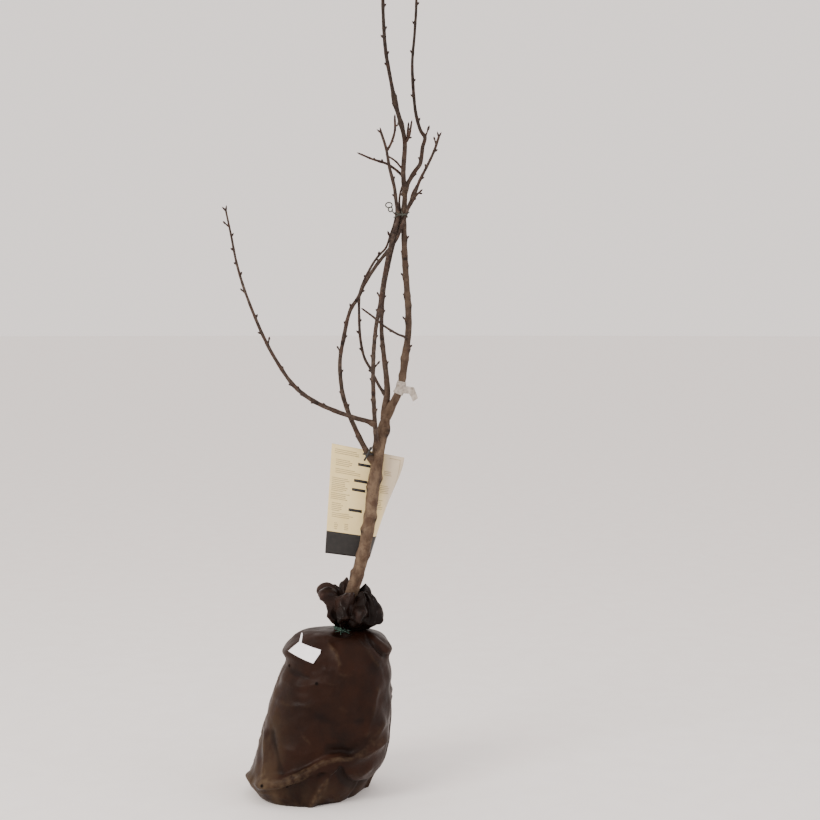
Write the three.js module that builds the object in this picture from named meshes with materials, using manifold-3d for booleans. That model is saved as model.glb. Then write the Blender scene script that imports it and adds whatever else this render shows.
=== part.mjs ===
// Young bare fruit tree on its wrapped root ball. Millimetres, +Z up.
// The origin is on the floor, under the middle of the flat underside of the root ball.
// X runs to the right of the front view and Y runs away from it.
import * as THREE from 'three';
import { mergeVertices } from 'three/addons/utils/BufferGeometryUtils.js';
import Module from 'manifold-3d';

const wasm = await Module();
wasm.setup();

// Driving sizes
const CLEAR = 0.4;
const LIMB_SIDES = 7;
const TWIG_SIDES = 5;
const BUD_SIDES = 4;
const SPUR_LENGTH = 10;
const LIMB_STEP = 27;
const TWIG_STEP = 12;
const SPAN_PARTS = 12;
const END_MARGIN = 0.004;

const BALL_SEGMENTS = 36;
const BALL_TOP = 287;
const NECK = { x: 46, waist: 18.4, z: 290.5 };
const COLLAR_SEGMENTS = 30;
const TWINE_RADIUS = 1.5;
const TIE_WIRE = 1.1;
const TIE_SLACK = 0.5;
const TIE_Z = 1012;
const TIE_BARE = 17;
const CARD = { width: 127, thick: 0.8, curl: 22, flatFoot: 57, tieZ: 597, tieTilt: -9 };
const TAG_THICK = 0.8;
const SLEEVE = { heights: [703, 723], wall: 0.9, step: 9 };

// Root ball, as level sections: height, leftmost x, rightmost x, half depth
const BALL_SECTIONS = [
  [0, -100, 86, 92],
  [7, -110, 90, 97],
  [30, -121, 101, 101],
  [60, -114, 114, 103],
  [85, -106, 120, 101],
  [112, -99, 123, 99],
  [145, -91, 126, 97],
  [180, -80, 127, 95],
  [212, -68, 127, 91],
  [236, -59, 124, 86],
  [255, -61, 124, 80],
  [270, -47, 118, 70],
  [280, -33, 106, 57],
  [285.5, -12, 88, 42],
];

// Folds of the film: side that each faces, its height and slope, its size
const BALL_FOLDS = [
  { facing: 262, width: 75, z: 58, slope: 0.62, high: 20, out: 6.5 },
  { facing: 282, width: 34, z: 26, slope: -1.1, high: 13, out: 4.5 },
  { facing: 355, width: 40, z: 249, slope: 0, high: 11, out: 4 },
  { facing: 322, width: 50, z: 0, slope: 0, high: 75, out: -26 },
  { facing: 190, width: 46, z: 252, slope: 0.1, high: 12, out: 3 },
  { facing: 95, width: 70, z: 70, slope: -0.4, high: 22, out: 5 },
  { facing: 60, width: 50, z: 190, slope: 0.3, high: 26, out: 4 },
];

// Limbs: route of the middle line, radii spread evenly from foot to tip, the limbs they stand on,
// the point of the route where a limb bends round a gap and is made in two, and the buds as
// side (-1 left, 1 right), height and length
const TRUNK = {
  name: 'trunk',
  sides: 10,
  route: [
    [42, 0, 288], [46, 0, 320], [61, 0, 363], [70, 0, 393], [81, 0, 437], [89, 0, 481], [96, 0, 534],
    [102, 0, 578], [106, 0, 611], [113, 1, 639], [119, 3, 667],
  ],
  radii: [14.5, 11.8, 10.9, 10.8, 10.7, 10.5, 10.7, 10.9, 10.6],
  buds: [
    [1, 555, 3.4], [-1, 538, 3.2], [1, 487, 3.4], [-1, 464, 3], [-1, 386, 3.4], [1, 420, 3],
    [1, 636, 5], [1, 644, 4.4],
  ],
  knobs: true,
  levelFoot: true,
};

const LEADER = {
  name: 'leader',
  sides: 8,
  on: ['trunk'],
  route: [
    [119, 3, 662], [127, 2, 680], [135, 1, 694], [145, 0, 720], [151, 2, 762],
    [157, 4, 809], [157, 4, 847], [152, 3, 921], [150, 1, 970], [149, 0, 1013],
    [149, 0, 1080], [151, 0, 1136], [146, 0, 1164], [136, -2, 1198], [125, -5, 1252],
    [118, -8, 1294], [114, -8, 1358], [114, -9, 1430], [118, -11, 1530], [121, -12, 1612],
  ],
  radii: [7.6, 5.5, 5.3, 4.8, 3.5, 2.7, 2.3, 2, 1.7],
  buds: [
    [-1, 733, 4.5], [-1, 763, 6], [1, 781, 11], [-1, 829, 12], [1, 855, 5], [-1, 873, 7],
    [-1, 905, 11], [1, 924, 4], [-1, 947, 6], [1, 973, 6], [-1, 992, 5], [1, 996, 5],
    [-1, 1168, 7], [-1, 1201, 6], [1, 1213, 6], [-1, 1268, 7], [1, 1286, 7], [-1, 1314, 8],
    [1, 1328, 7], [1, 1367, 7], [-1, 1404, 7], [1, 1441, 7], [-1, 1478, 7], [1, 1513, 7],
    [-1, 1546, 6], [1, 1575, 6], [-1, 1598, 6],
  ],
};

const MIDDLE_BOUGH = {
  name: 'middle_bough',
  on: ['trunk', 'leader'],
  route: [
    [117, 4, 658], [118, 9, 683], [120, 14, 706], [119, 18, 727], [113, 26, 778],
    [110, 28, 814], [111, 27, 849], [114, 22, 882], [126, 13, 941], [139, 7, 989],
    [145, 7, 1015], [145, 9, 1034], [146, 10, 1051], [148, 10, 1062],
  ],
  radii: [5.4, 4.3, 3.8, 3.5, 3.1, 2.7, 2],
  buds: [[1, 754, 7], [-1, 784, 5], [1, 845, 6], [1, 871, 6], [-1, 921, 5], [-1, 951, 5]],
  openTip: true,
};

const THIN_BOUGH = {
  name: 'thin_bough',
  sides: TWIG_SIDES + 1,
  on: ['middle_bough'],
  route: [
    [119, 13, 697], [107, 13, 714], [91, 18, 745], [80, 22, 765], [73, 24, 798],
    [71, 22, 837], [73, 18, 880], [91, 14, 921], [105, 12, 942], [118, 9, 956],
    [126, 3, 978], [132, 0, 995], [136, -1, 1014], [136, 0, 1027],
  ],
  radii: [2.6, 2.2, 2.1, 1.9, 1.7, 1.5],
  buds: [[-1, 742, 6], [-1, 779, 6], [-1, 808, 8], [1, 829, 5], [-1, 862, 6], [-1, 905, 5], [-1, 944, 7]],
};

const FRONT_BOUGH = {
  name: 'front_bough',
  on: ['trunk'],
  route: [
    [103, 1, 592], [102, -10, 614], [99, -33, 663], [97, -51, 732], [98, -54, 773],
    [101, -52, 811], [109, -40, 860], [115, -27, 902], [121, -18, 935],
    [130, -11, 972], [136, -9, 993], [140, -7, 1013], [137, -9, 1028], [133, -16, 1059],
    [125, -23, 1091], [119, -28, 1124], [112, -32, 1146],
  ],
  radii: [4.8, 4, 3.6, 3.5, 3.4, 3.3, 3.2, 2.5, 1.9],
  buds: [
    [1, 675, 6], [-1, 692, 6], [-1, 728, 7], [1, 751, 15], [-1, 768, 6], [1, 803, 5],
    [-1, 846, 6], [-1, 870, 12], [1, 898, 6], [1, 943, 7], [-1, 976, 15], [-1, 1044, 6],
    [1, 1072, 6],
  ],
  tipSplay: [-0.9, 0.1],
};

const LEFT_BOUGH = {
  name: 'left_bough',
  on: ['trunk'],
  bendAt: 5,
  route: [
    [99, 1, 581], [86, -6, 600], [63, -12, 647], [50, -16, 680], [43, -20, 707],
    [39, -22, 757], [45, -20, 797], [57, -12, 848], [70, -6, 869], [80, -4, 891],
    [101, -3, 924], [126, -4, 956], [137, -7, 971], [145, -9, 991], [153, -10, 1011],
    [160, -12, 1033], [168, -16, 1046], [176, -21, 1068], [192, -27, 1097],
    [203, -31, 1121], [207, -33, 1135],
  ],
  radii: [5.6, 4.4, 3.7, 3.4, 3.3, 3.2, 3, 2.8, 2.5, 2.2, 1.7],
  buds: [
    [-1, 628, 6], [1, 680, 7], [-1, 705, 6], [1, 741, 7], [-1, 777, 12], [1, 802, 6],
    [-1, 824, 6], [-1, 853, 7], [1, 881, 6], [-1, 898, 7], [-1, 931, 5], [1, 1074, 6],
    [-1, 1092, 6], [1, 1110, 6], [-1, 1121, 7],
  ],
  tipSplay: [-0.6, 0.2],
};

const OUTER_BOUGH = {
  name: 'outer_bough',
  on: ['front_bough'],
  bendAt: 6,
  route: [
    [100, -30, 651], [86, -33, 657], [66, -40, 663], [29, -52, 677], [-2, -60, 692],
    [-36, -62, 718], [-69, -56, 764], [-93, -48, 809], [-122, -36, 879],
    [-137, -28, 927], [-147, -22, 975], [-156, -20, 1018],
  ],
  radii: [4.2, 3.2, 2.9, 2.7, 2.4, 2, 1.7],
  buds: [
    [-1, 676, 6], [1, 684, 6], [-1, 693, 6], [-1, 705, 7], [1, 713, 6], [-1, 722, 7],
    [1, 748, 5], [1, 790, 13], [-1, 809, 7], [1, 835, 8], [-1, 879, 12], [1, 908, 7],
    [-1, 927, 7], [-1, 951, 7], [1, 975, 7], [-1, 992, 15], [1, 1005, 8],
  ],
  tipSplay: [-0.75, 0.3],
};

const RIGHT_BOUGH = {
  name: 'right_bough',
  on: ['leader'],
  route: [
    [149, 0, 1045], [156, 6, 1066], [169, 12, 1089], [177, 18, 1100], [180, 24, 1114],
    [182, 30, 1132], [186, 34, 1149], [179, 36, 1160], [171, 39, 1187], [167, 40, 1218],
    [164, 40, 1277], [168, 40, 1329], [171, 40, 1384], [169, 37, 1450], [173, 34, 1530],
  ],
  radii: [3.4, 3, 2.7, 2.3, 2, 1.9, 1.6],
  buds: [
    [1, 1083, 6], [-1, 1110, 6], [1, 1151, 21], [1, 1178, 7], [-1, 1221, 7], [1, 1247, 6],
    [-1, 1296, 7], [-1, 1346, 7], [1, 1379, 7], [-1, 1412, 7], [1, 1445, 7], [-1, 1476, 7],
    [1, 1503, 6],
  ],
};

const SIDE_SHOOT = {
  name: 'side_shoot',
  on: ['leader'],
  route: [
    [155, 4, 799], [148, -12, 803], [140, -26, 806], [116, -58, 821], [97, -74, 837],
    [85, -81, 846],
  ],
  radii: [2, 1.6, 1.5, 1.5, 1.5],
  buds: [[-1, 812, 5], [1, 826, 5]],
  sides: TWIG_SIDES,
};

const LIMBS = [
  TRUNK, LEADER, MIDDLE_BOUGH, THIN_BOUGH, FRONT_BOUGH, LEFT_BOUGH, OUTER_BOUGH, RIGHT_BOUGH,
  SIDE_SHOOT,
];

// Twig masses: each grows from one stem, with a fork on some, by the seeded rule in growTwigs
const TWIG_MASSES = [
  {
    name: 'left_twigs', from: 'middle_bough', seed: 5, shoots: 3, radii: [1.9, 1.7, 1.5, 1.4],
    route: [
      [147, 10, 1061], [149, 10, 1070], [146, 10, 1080], [137, 6, 1089],
      [120, 2, 1100], [108, 0, 1104], [95, 0, 1108], [76, 0, 1116],
    ],
  },
  {
    name: 'inner_twig', from: 'leader', seed: 11, shoots: 0, radii: [1.5, 1.3, 1.2],
    route: [[148, -1, 1091], [143, -5, 1095], [137, -9, 1102], [129, -13, 1107]],
  },
  {
    name: 'front_twig', from: 'front_bough', seed: 17, shoots: 2, radii: [1.7, 1.4, 1.2],
    route: [[120, -27, 1119], [127, -24, 1131], [134, -19, 1154], [134, -15, 1175]],
  },
  {
    name: 'leader_twigs', from: 'leader', seed: 23, shoots: 2, radii: [1.8, 1.5, 1.3],
    route: [[151, -1, 1136], [155, -6, 1139], [159, -11, 1148], [162, -15, 1165]],
    fork: [[156, -7, 1140], [156, -1, 1145], [156, 4, 1153], [157, 8, 1165]],
  },
  {
    name: 'right_twig_low', from: 'left_bough', seed: 31, shoots: 2, radii: [1.8, 1.6, 1.5],
    route: [[157, -11, 1022], [163, -19, 1031], [171, -29, 1044], [177, -37, 1049]],
  },
  {
    name: 'right_twig_high', from: 'left_bough', seed: 37, shoots: 1, radii: [1.6, 1.4, 1.2],
    route: [[161, -13, 1036], [164, -7, 1048], [169, -5, 1058]],
  },
];

// Colours of the parts, from the daylight photograph
const COLOURS = {
  bark: { color: '#6f5d50', roughness: 0.82, metalness: 0 },
  youngBark: { color: '#5d463c', roughness: 0.75, metalness: 0 },
  twig: { color: '#513a33', roughness: 0.78, metalness: 0 },
  film: { color: '#3a261e', roughness: 0.42, metalness: 0 },
  collarFilm: { color: '#2a1d18', roughness: 0.4, metalness: 0 },
  twine: { color: '#1f5a43', roughness: 0.7, metalness: 0 },
  wire: { color: '#4b5a44', roughness: 0.55, metalness: 0 },
  card: { color: '#e9dcbd', roughness: 0.45, metalness: 0 },
  strap: { color: '#1b1a1a', roughness: 0.5, metalness: 0 },
  tag: { color: '#f2eef2', roughness: 0.55, metalness: 0 },
  sleeve: { color: '#cfcac6', roughness: 0.35, metalness: 0 },
};

// Random numbers that come out the same each time
function seeded(seed) {
  let state = seed * 7919 + 17;
  return () => {
    state = (state * 48271) % 2147483647;
    return state / 2147483647;
  };
}

// Cap of a thin ring, such as the edge of a sheet: quads across its thickness
function sheetCap(first, sides) {
  return Array.from({ length: sides / 2 - 1 }, (_, i) => {
    const [a, b, c, d] = [i, i + 1, sides - 2 - i, sides - 1 - i].map((k) => first + k);
    return [[a, b, c], [a, c, d]];
  }).flat();
}

// One closed body through rings of points, with a fan to an apex at each end
function loft(rings, ends = {}) {
  const sides = rings[0].length;
  const points = rings.flat();
  const faces = [];
  const wall = ends.closed ? rings.length : rings.length - 1;
  for (let k = 0; k < wall; k++) {
    const next = (k + 1) % rings.length;
    for (let i = 0; i < sides; i++) {
      const j = (i + 1) % sides;
      faces.push([k * sides + i, k * sides + j, next * sides + j]);
      faces.push([k * sides + i, next * sides + j, next * sides + i]);
    }
  }
  const last = (rings.length - 1) * sides;
  if (ends.sheet) {
    faces.push(...sheetCap(0, sides).map((face) => face.toReversed()), ...sheetCap(last, sides));
  } else if (!ends.closed) {
    const foot = points.push(ends.foot ?? middle(rings[0])) - 1;
    const tip = points.push(ends.tip ?? middle(rings.at(-1))) - 1;
    for (let i = 0; i < sides; i++) {
      const j = (i + 1) % sides;
      faces.push([foot, j, i]);
      faces.push([tip, last + i, last + j]);
    }
  }
  return indexed(points, faces);
}

function indexed(points, faces) {
  const geometry = new THREE.BufferGeometry();
  const numbers = points.flatMap((p) => [p.x, p.y, p.z]);
  geometry.setAttribute('position', new THREE.Float32BufferAttribute(numbers, 3));
  geometry.setIndex(faces.flat());
  return geometry;
}

function middle(points) {
  const sum = new THREE.Vector3();
  points.forEach((p) => sum.add(p));
  return sum.divideScalar(points.length);
}

// Solids for joining and cutting, and back again
function solid(geometry) {
  const plain = geometry.clone();
  plain.deleteAttribute('normal');
  plain.deleteAttribute('uv');
  const merged = mergeVertices(plain, 1e-4);
  return new wasm.Manifold(new wasm.Mesh({
    numProp: 3,
    vertProperties: new Float32Array(merged.attributes.position.array),
    triVerts: new Uint32Array(merged.index.array),
  }));
}

function geometryOf(body) {
  const mesh = body.getMesh();
  const geometry = new THREE.BufferGeometry();
  geometry.setAttribute('position', new THREE.Float32BufferAttribute(mesh.vertProperties, 3));
  geometry.setIndex(Array.from(mesh.triVerts));
  return geometry;
}

function fuse(bodies) {
  return bodies.reduce((whole, body) => whole.add(body));
}

function cut(body, tools) {
  return tools.reduce((rest, tool) => rest.subtract(tool), body);
}

// The same closed geometry, swollen along its own normals
function swollen(geometry, amount) {
  const grown = geometry.clone();
  grown.computeVertexNormals();
  const { position, normal } = grown.attributes;
  for (let i = 0; i < position.count; i++) {
    position.setXYZ(
      i,
      position.getX(i) + normal.getX(i) * amount,
      position.getY(i) + normal.getY(i) * amount,
      position.getZ(i) + normal.getZ(i) * amount,
    );
  }
  return grown;
}

// Middle line of a limb, with its radius at each share of its length
function lineOf(limb) {
  const curve = new THREE.CatmullRomCurve3(
    limb.route.map((p) => new THREE.Vector3(...p)),
    false,
    'centripetal',
  );
  curve.arcLengthDivisions = 400;
  return curve;
}

function radiusAt(limb, share) {
  const place = share * (limb.radii.length - 1);
  const k = Math.min(Math.floor(place), limb.radii.length - 2);
  return THREE.MathUtils.lerp(limb.radii[k], limb.radii[k + 1], place - k);
}

// Share of the length at which a rising limb passes a height
function shareAtHeight(curve, z) {
  let low = 0;
  let high = 1;
  for (let turn = 0; turn < 24; turn++) {
    const half = (low + high) / 2;
    if (curve.getPointAt(half).z < z) low = half;
    else high = half;
  }
  return (low + high) / 2;
}

function ringRound(centre, normal, across, radius, sides) {
  const other = new THREE.Vector3().crossVectors(normal, across);
  return Array.from({ length: sides }, (_, i) => {
    const angle = (i / sides) * 2 * Math.PI;
    return centre.clone()
      .addScaledVector(across, Math.cos(angle) * radius)
      .addScaledVector(other, Math.sin(angle) * radius);
  });
}

// Shares of a limb's length at which its route points lie
function routeShares(limb, curve) {
  const lengths = curve.getLengths((limb.route.length - 1) * SPAN_PARTS);
  return limb.route.map((_, i) => lengths[i * SPAN_PARTS] / lengths.at(-1));
}

// Stations along a limb: one at each route point, and more between points that lie far apart
function stationsOf(limb, curve, [from, to]) {
  const marks = routeShares(limb, curve);
  const step = (limb.step ?? LIMB_STEP) / curve.getLength();
  const shares = marks.slice(0, -1).flatMap((mark, i) => {
    const span = marks[i + 1] - mark;
    const parts = Math.ceil(span / step);
    return Array.from({ length: parts }, (_, k) => mark + (span * k) / parts);
  });
  const inside = shares.filter((share) => share > from + END_MARGIN && share < to - END_MARGIN);
  return [from, ...inside, to].map((share) => ({
    point: curve.getPointAt(share),
    tangent: share === 0 && limb.levelFoot ? new THREE.Vector3(0, 0, 1) : curve.getTangentAt(share),
    radius: radiusAt(limb, share),
  }));
}

// The stretches of a limb that are made as one piece each
function piecesOf(limb) {
  if (!limb.bendAt) return [{ name: limb.name, range: [0, 1] }];
  const curve = lineOf(limb);
  const bend = routeShares(limb, curve)[limb.bendAt];
  return [
    { name: `${limb.name}_foot`, range: [0, bend] },
    { name: `${limb.name}_top`, range: [bend + CLEAR / curve.getLength(), 1] },
  ];
}

// Tapered round limb; swell makes the same limb thicker all over
function tube(limb, swell = 0, range = [0, 1]) {
  const curve = lineOf(limb);
  const sides = limb.sides ?? LIMB_SIDES;
  const stations = stationsOf(limb, curve, range);
  const heading = stations[0].tangent.clone();
  const across = new THREE.Vector3(0, 1, 0).cross(heading).normalize();
  const turn = new THREE.Quaternion();
  const rings = stations.map(({ point, tangent, radius }) => {
    turn.setFromUnitVectors(heading, tangent);
    across.applyQuaternion(turn);
    heading.copy(tangent);
    return ringRound(point, tangent, across, radius + swell, sides);
  });
  const flatTip = limb.openTip || limb.knobs || range[1] < 1;
  const tipRise = flatTip ? swell : radiusAt(limb, 1) * 0.8 + swell;
  const [start, end] = [stations[0], stations.at(-1)];
  const tip = end.point.clone().addScaledVector(end.tangent, tipRise);
  const foot = start.point.clone().addScaledVector(start.tangent, -swell);
  rings[0].forEach((p) => p.addScaledVector(start.tangent, -swell));
  rings.at(-1).forEach((p) => p.addScaledVector(end.tangent, swell));
  return loft(rings, { foot, tip });
}

// Pointed bud, or a spur with a bud at its end when it is long
function bud(root, direction, sunk, length) {
  const spur = length > SPUR_LENGTH;
  const radius = spur ? 1.5 : 1.1 + length * 0.12;
  const widths = spur ? [1.2, 0.9, 1.3] : [0.85, 1.15];
  const places = spur ? [-sunk, length * 0.55, length * 0.8] : [-sunk, length * 0.35];
  const across = new THREE.Vector3(0.3, 0.8, 0.5).cross(direction).normalize();
  const rings = places.map((along, i) => ringRound(
    root.clone().addScaledVector(direction, along), direction, across, radius * widths[i], BUD_SIDES,
  ));
  return solid(loft(rings, { tip: root.clone().addScaledVector(direction, length) }));
}

// Rounded knob on the trunk, where an old bud or a cut has healed over
function knob(root, direction, sunk, size) {
  const ball = new THREE.SphereGeometry(size + 1.2, 8, 6);
  const place = root.clone().addScaledVector(direction, -sunk * 0.3);
  ball.translate(place.x, place.y, place.z);
  return solid(ball);
}

// Direction in which a bud stands: sideways, turned some way round, and leaning up the limb
function budDirection(tangent, side, swing, lean) {
  const out = new THREE.Vector3(side * Math.cos(swing), Math.sin(swing), 0);
  out.addScaledVector(tangent, -out.dot(tangent)).normalize();
  return out.multiplyScalar(Math.cos(lean)).addScaledVector(tangent, Math.sin(lean)).normalize();
}

// Buds seen on the limb, one more behind or before each third of them, and one at the tip;
// none sits under the crown tie
function budsOf(limb, [from, to]) {
  const curve = lineOf(limb);
  const random = seeded(limb.name.length * 31 + limb.route.length);
  const bodies = [];
  const place = (share, side, swing, length) => {
    const tangent = curve.getTangentAt(share);
    const radius = radiusAt(limb, share);
    const lean = limb.knobs ? 0 : 0.75 + 0.2 * random();
    const direction = budDirection(tangent, side, swing, lean);
    const flat = budDirection(tangent, side, swing, 0);
    const root = curve.getPointAt(share).addScaledVector(flat, radius * 0.75);
    const placed = share > from + END_MARGIN && share < to - END_MARGIN;
    if (!placed || Math.abs(root.z - TIE_Z) < TIE_BARE) return;
    const shape = limb.knobs ? knob : bud;
    bodies.push(shape(root, direction, radius * 0.6, length));
  };
  limb.buds.forEach(([side, z, length], i) => {
    const share = shareAtHeight(curve, z);
    place(share, side, (random() - 0.5) * 0.9, length);
    const between = share + 16 / curve.getLength();
    const facing = random() < 0.5 ? -1 : 1;
    if (i % 3 === 1 && !limb.knobs && between < 0.97) place(between, side, facing * 1.4, 5.5);
  });
  const splay = limb.tipSplay ?? [0];
  if (!limb.openTip && !limb.knobs && to === 1) {
    for (const side of splay) {
      const tangent = curve.getTangentAt(1);
      const direction = tangent.clone().add(new THREE.Vector3(side, 0, 0)).normalize();
      bodies.push(bud(curve.getPointAt(1), direction, radiusAt(limb, 1), 8));
    }
  }
  return bodies;
}

// Twigs of a mass: side buds turned two fifths of a round on from one to the next
function growTwigs(mass, limbTubes) {
  const random = seeded(mass.seed);
  const stems = [mass.route, mass.fork].filter(Boolean)
    .map((route) => ({ ...mass, route, sides: TWIG_SIDES, step: TWIG_STEP }));
  const bodies = stems.map((stem) => solid(tube(stem)));
  for (let k = 0; k < mass.shoots; k++) {
    const curve = lineOf(stems[k % stems.length]);
    const share = 0.3 + (0.6 * (k + random())) / mass.shoots;
    const turn = (k * 2 * 2 * Math.PI) / 5 + random();
    const direction = budDirection(curve.getTangentAt(share), Math.cos(turn) < 0 ? -1 : 1, turn, 0.7);
    const shoot = bud(curve.getPointAt(share), direction, radiusAt(mass, share) * 0.4, 5 + 3 * random());
    const touches = limbTubes.some((tool) => !tool.intersect(shoot).isEmpty());
    if (!touches) bodies.push(shoot);
  }
  for (const stem of stems) {
    const curve = lineOf(stem);
    bodies.push(bud(curve.getPointAt(1), curve.getTangentAt(1), radiusAt(mass, 1), 7));
  }
  return fuse(bodies);
}

// Root ball in its film: level sections, pushed out where the film is folded
function foldOut(angle, z) {
  let out = 0;
  for (const fold of BALL_FOLDS) {
    const off = ((angle - fold.facing + 540) % 360) - 180;
    const ridge = fold.z + fold.slope * off;
    const aside = Math.max(0, 1 - Math.abs(off) / fold.width);
    const near = Math.max(0, 1 - Math.abs(z - ridge) / fold.high);
    out += fold.out * Math.sqrt(aside) * near;
  }
  return out;
}

function ballRing([z, left, right, depth]) {
  const centre = (left + right) / 2;
  const half = (right - left) / 2;
  const squareness = 2.5;
  return Array.from({ length: BALL_SEGMENTS }, (_, i) => {
    const angle = (i / BALL_SEGMENTS) * 2 * Math.PI;
    const c = Math.cos(angle);
    const s = Math.sin(angle);
    const reach = (Math.abs(c) ** squareness + Math.abs(s) ** squareness) ** (-1 / squareness);
    const out = foldOut((i / BALL_SEGMENTS) * 360, z);
    return new THREE.Vector3(
      centre + c * (reach * half + out),
      s * (reach * depth + out),
      z,
    );
  });
}

function ballGeometry() {
  const rings = BALL_SECTIONS.map(ballRing);
  const rim = Array.from({ length: BALL_SEGMENTS }, (_, i) => {
    const angle = (i / BALL_SEGMENTS) * 2 * Math.PI;
    return new THREE.Vector3(
      NECK.x + Math.cos(angle) * (NECK.waist + 4),
      Math.sin(angle) * (NECK.waist + 4),
      BALL_TOP,
    );
  });
  return loft([...rings, rim]);
}

// Pinched corner of the film at the lower left
function ballEar() {
  const section = (x, y, z, wide, high) => Array.from({ length: 8 }, (_, i) => {
    const angle = (-i / 8) * 2 * Math.PI;
    return new THREE.Vector3(x, y + Math.cos(angle) * wide, z + Math.sin(angle) * high);
  });
  const rings = [
    section(-98, -12, 40, 30, 26),
    section(-114, -10, 34, 17, 16),
    section(-123, -9, 31, 7, 8),
  ];
  return loft(rings, { tip: new THREE.Vector3(-130, -8, 30) });
}

function rootBall() {
  return solid(ballGeometry()).add(solid(ballEar()));
}

// Gathered film above the tie: a ruffled cup with the trunk through it
function collarSection(angle) {
  const c = Math.cos(angle);
  const s = Math.sin(angle);
  const ruffle = 3.5 * Math.cos(3 * angle + 1) + 3 * Math.cos(5 * angle + 2.2) + 2 * Math.cos(8 * angle);
  const reach = 55 + 3 * c + ruffle;
  const top = 361 + 3 * Math.cos(4 * angle + 0.6) + 3 * Math.cos(7 * angle) - 4 * Math.max(0, c);
  const widest = 332 - 15 * c;
  const under = 310 - 13 * c;
  const shoulder = 0.72 - 0.2 * c;
  const profile = [
    [5, BALL_TOP + CLEAR],
    [NECK.waist, BALL_TOP + CLEAR],
    [NECK.waist, NECK.z + 2],
    [NECK.waist + 7, NECK.z + 6],
    [reach * 0.82, under],
    [reach, widest],
    [reach * shoulder, top],
    [reach * shoulder * 0.72, top - 4],
    [19, top - 26],
    [5, top - 28],
  ];
  return profile.map(([out, z]) => {
    const above = Math.max(0, z - NECK.z - 2);
    const depth = 1 - Math.min(0.08, above * 0.008);
    return new THREE.Vector3(NECK.x + above * 0.19 + c * out, s * out * depth, z);
  });
}

function collar(trunkTool) {
  const sections = Array.from({ length: COLLAR_SEGMENTS }, (_, i) => (
    collarSection((i / COLLAR_SEGMENTS) * 2 * Math.PI).reverse()
  ));
  return solid(loft(sections, { closed: true })).subtract(trunkTool);
}

// Round wire or twine along a closed path
function closedWire(path, radius, sides) {
  const count = path.length;
  const rings = path.map((point, i) => {
    const heading = path[(i + 1) % count].clone().sub(path[(i + count - 1) % count]).normalize();
    const across = new THREE.Vector3(0, 0, 1).addScaledVector(heading, -heading.z).normalize();
    return ringRound(point, heading, across, radius, sides);
  });
  return loft(rings, { closed: true });
}

function twine() {
  const reach = NECK.waist + CLEAR + TWINE_RADIUS;
  const round = Array.from({ length: 24 }, (_, i) => {
    const angle = (i / 24) * 2 * Math.PI;
    return new THREE.Vector3(
      NECK.x + Math.cos(angle) * reach,
      Math.sin(angle) * reach,
      NECK.z + 0.4 * Math.cos(2 * angle),
    );
  });
  const knotAt = [NECK.x - 3, -reach - 1, NECK.z];
  const knot = new THREE.SphereGeometry(2.4, 8, 6).translate(...knotAt);
  const ends = [[-1, -0.5, 0.25], [0.8, -0.6, 0.1]].map((way) => (
    bud(new THREE.Vector3(...knotAt), new THREE.Vector3(...way).normalize(), 0, 10)
  ));
  return fuse([solid(closedWire(round, TWINE_RADIUS, 6)), solid(knot), ...ends]);
}

// Outline pulled tight round the limbs that pass a height
function hullRound(limbs, z, margin) {
  const points = [];
  for (const limb of limbs) {
    const curve = lineOf(limb);
    const share = shareAtHeight(curve, z);
    const at = curve.getPointAt(share);
    const reach = radiusAt(limb, share) + margin;
    for (let i = 0; i < 40; i++) {
      const angle = (i / 40) * 2 * Math.PI;
      points.push([at.x + Math.cos(angle) * reach, at.y + Math.sin(angle) * reach]);
    }
  }
  points.sort((p, q) => p[0] - q[0] || p[1] - q[1]);
  const turnOf = (o, a, b) => (a[0] - o[0]) * (b[1] - o[1]) - (a[1] - o[1]) * (b[0] - o[0]);
  const half = (list) => list.reduce((chain, p) => {
    while (chain.length > 1 && turnOf(chain.at(-2), chain.at(-1), p) <= 0) chain.pop();
    chain.push(p);
    return chain;
  }, []);
  return [...half(points).slice(0, -1), ...half(points.toReversed()).slice(0, -1)];
}

// Point of a closed outline at a share of its way round
function alongOutline(outline, share) {
  const lengths = outline.map((p, i) => {
    const q = outline[(i + 1) % outline.length];
    return Math.hypot(q[0] - p[0], q[1] - p[1]);
  });
  let left = share * lengths.reduce((a, b) => a + b);
  let k = 0;
  while (left > lengths[k] && k < outline.length - 1) {
    left -= lengths[k];
    k += 1;
  }
  const p = outline[k];
  const q = outline[(k + 1) % outline.length];
  const part = left / lengths[k];
  return [p[0] + (q[0] - p[0]) * part, p[1] + (q[1] - p[1]) * part];
}

function turnRound(limbs, z, tilt, wire) {
  const count = 18;
  const path = Array.from({ length: count }, (_, i) => {
    const share = i / count;
    const height = z + tilt * Math.cos(share * 2 * Math.PI);
    const [x, y] = alongOutline(hullRound(limbs, height, wire + TIE_SLACK), share);
    return new THREE.Vector3(x, y, height);
  });
  return solid(closedWire(path, wire, 4));
}

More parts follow.
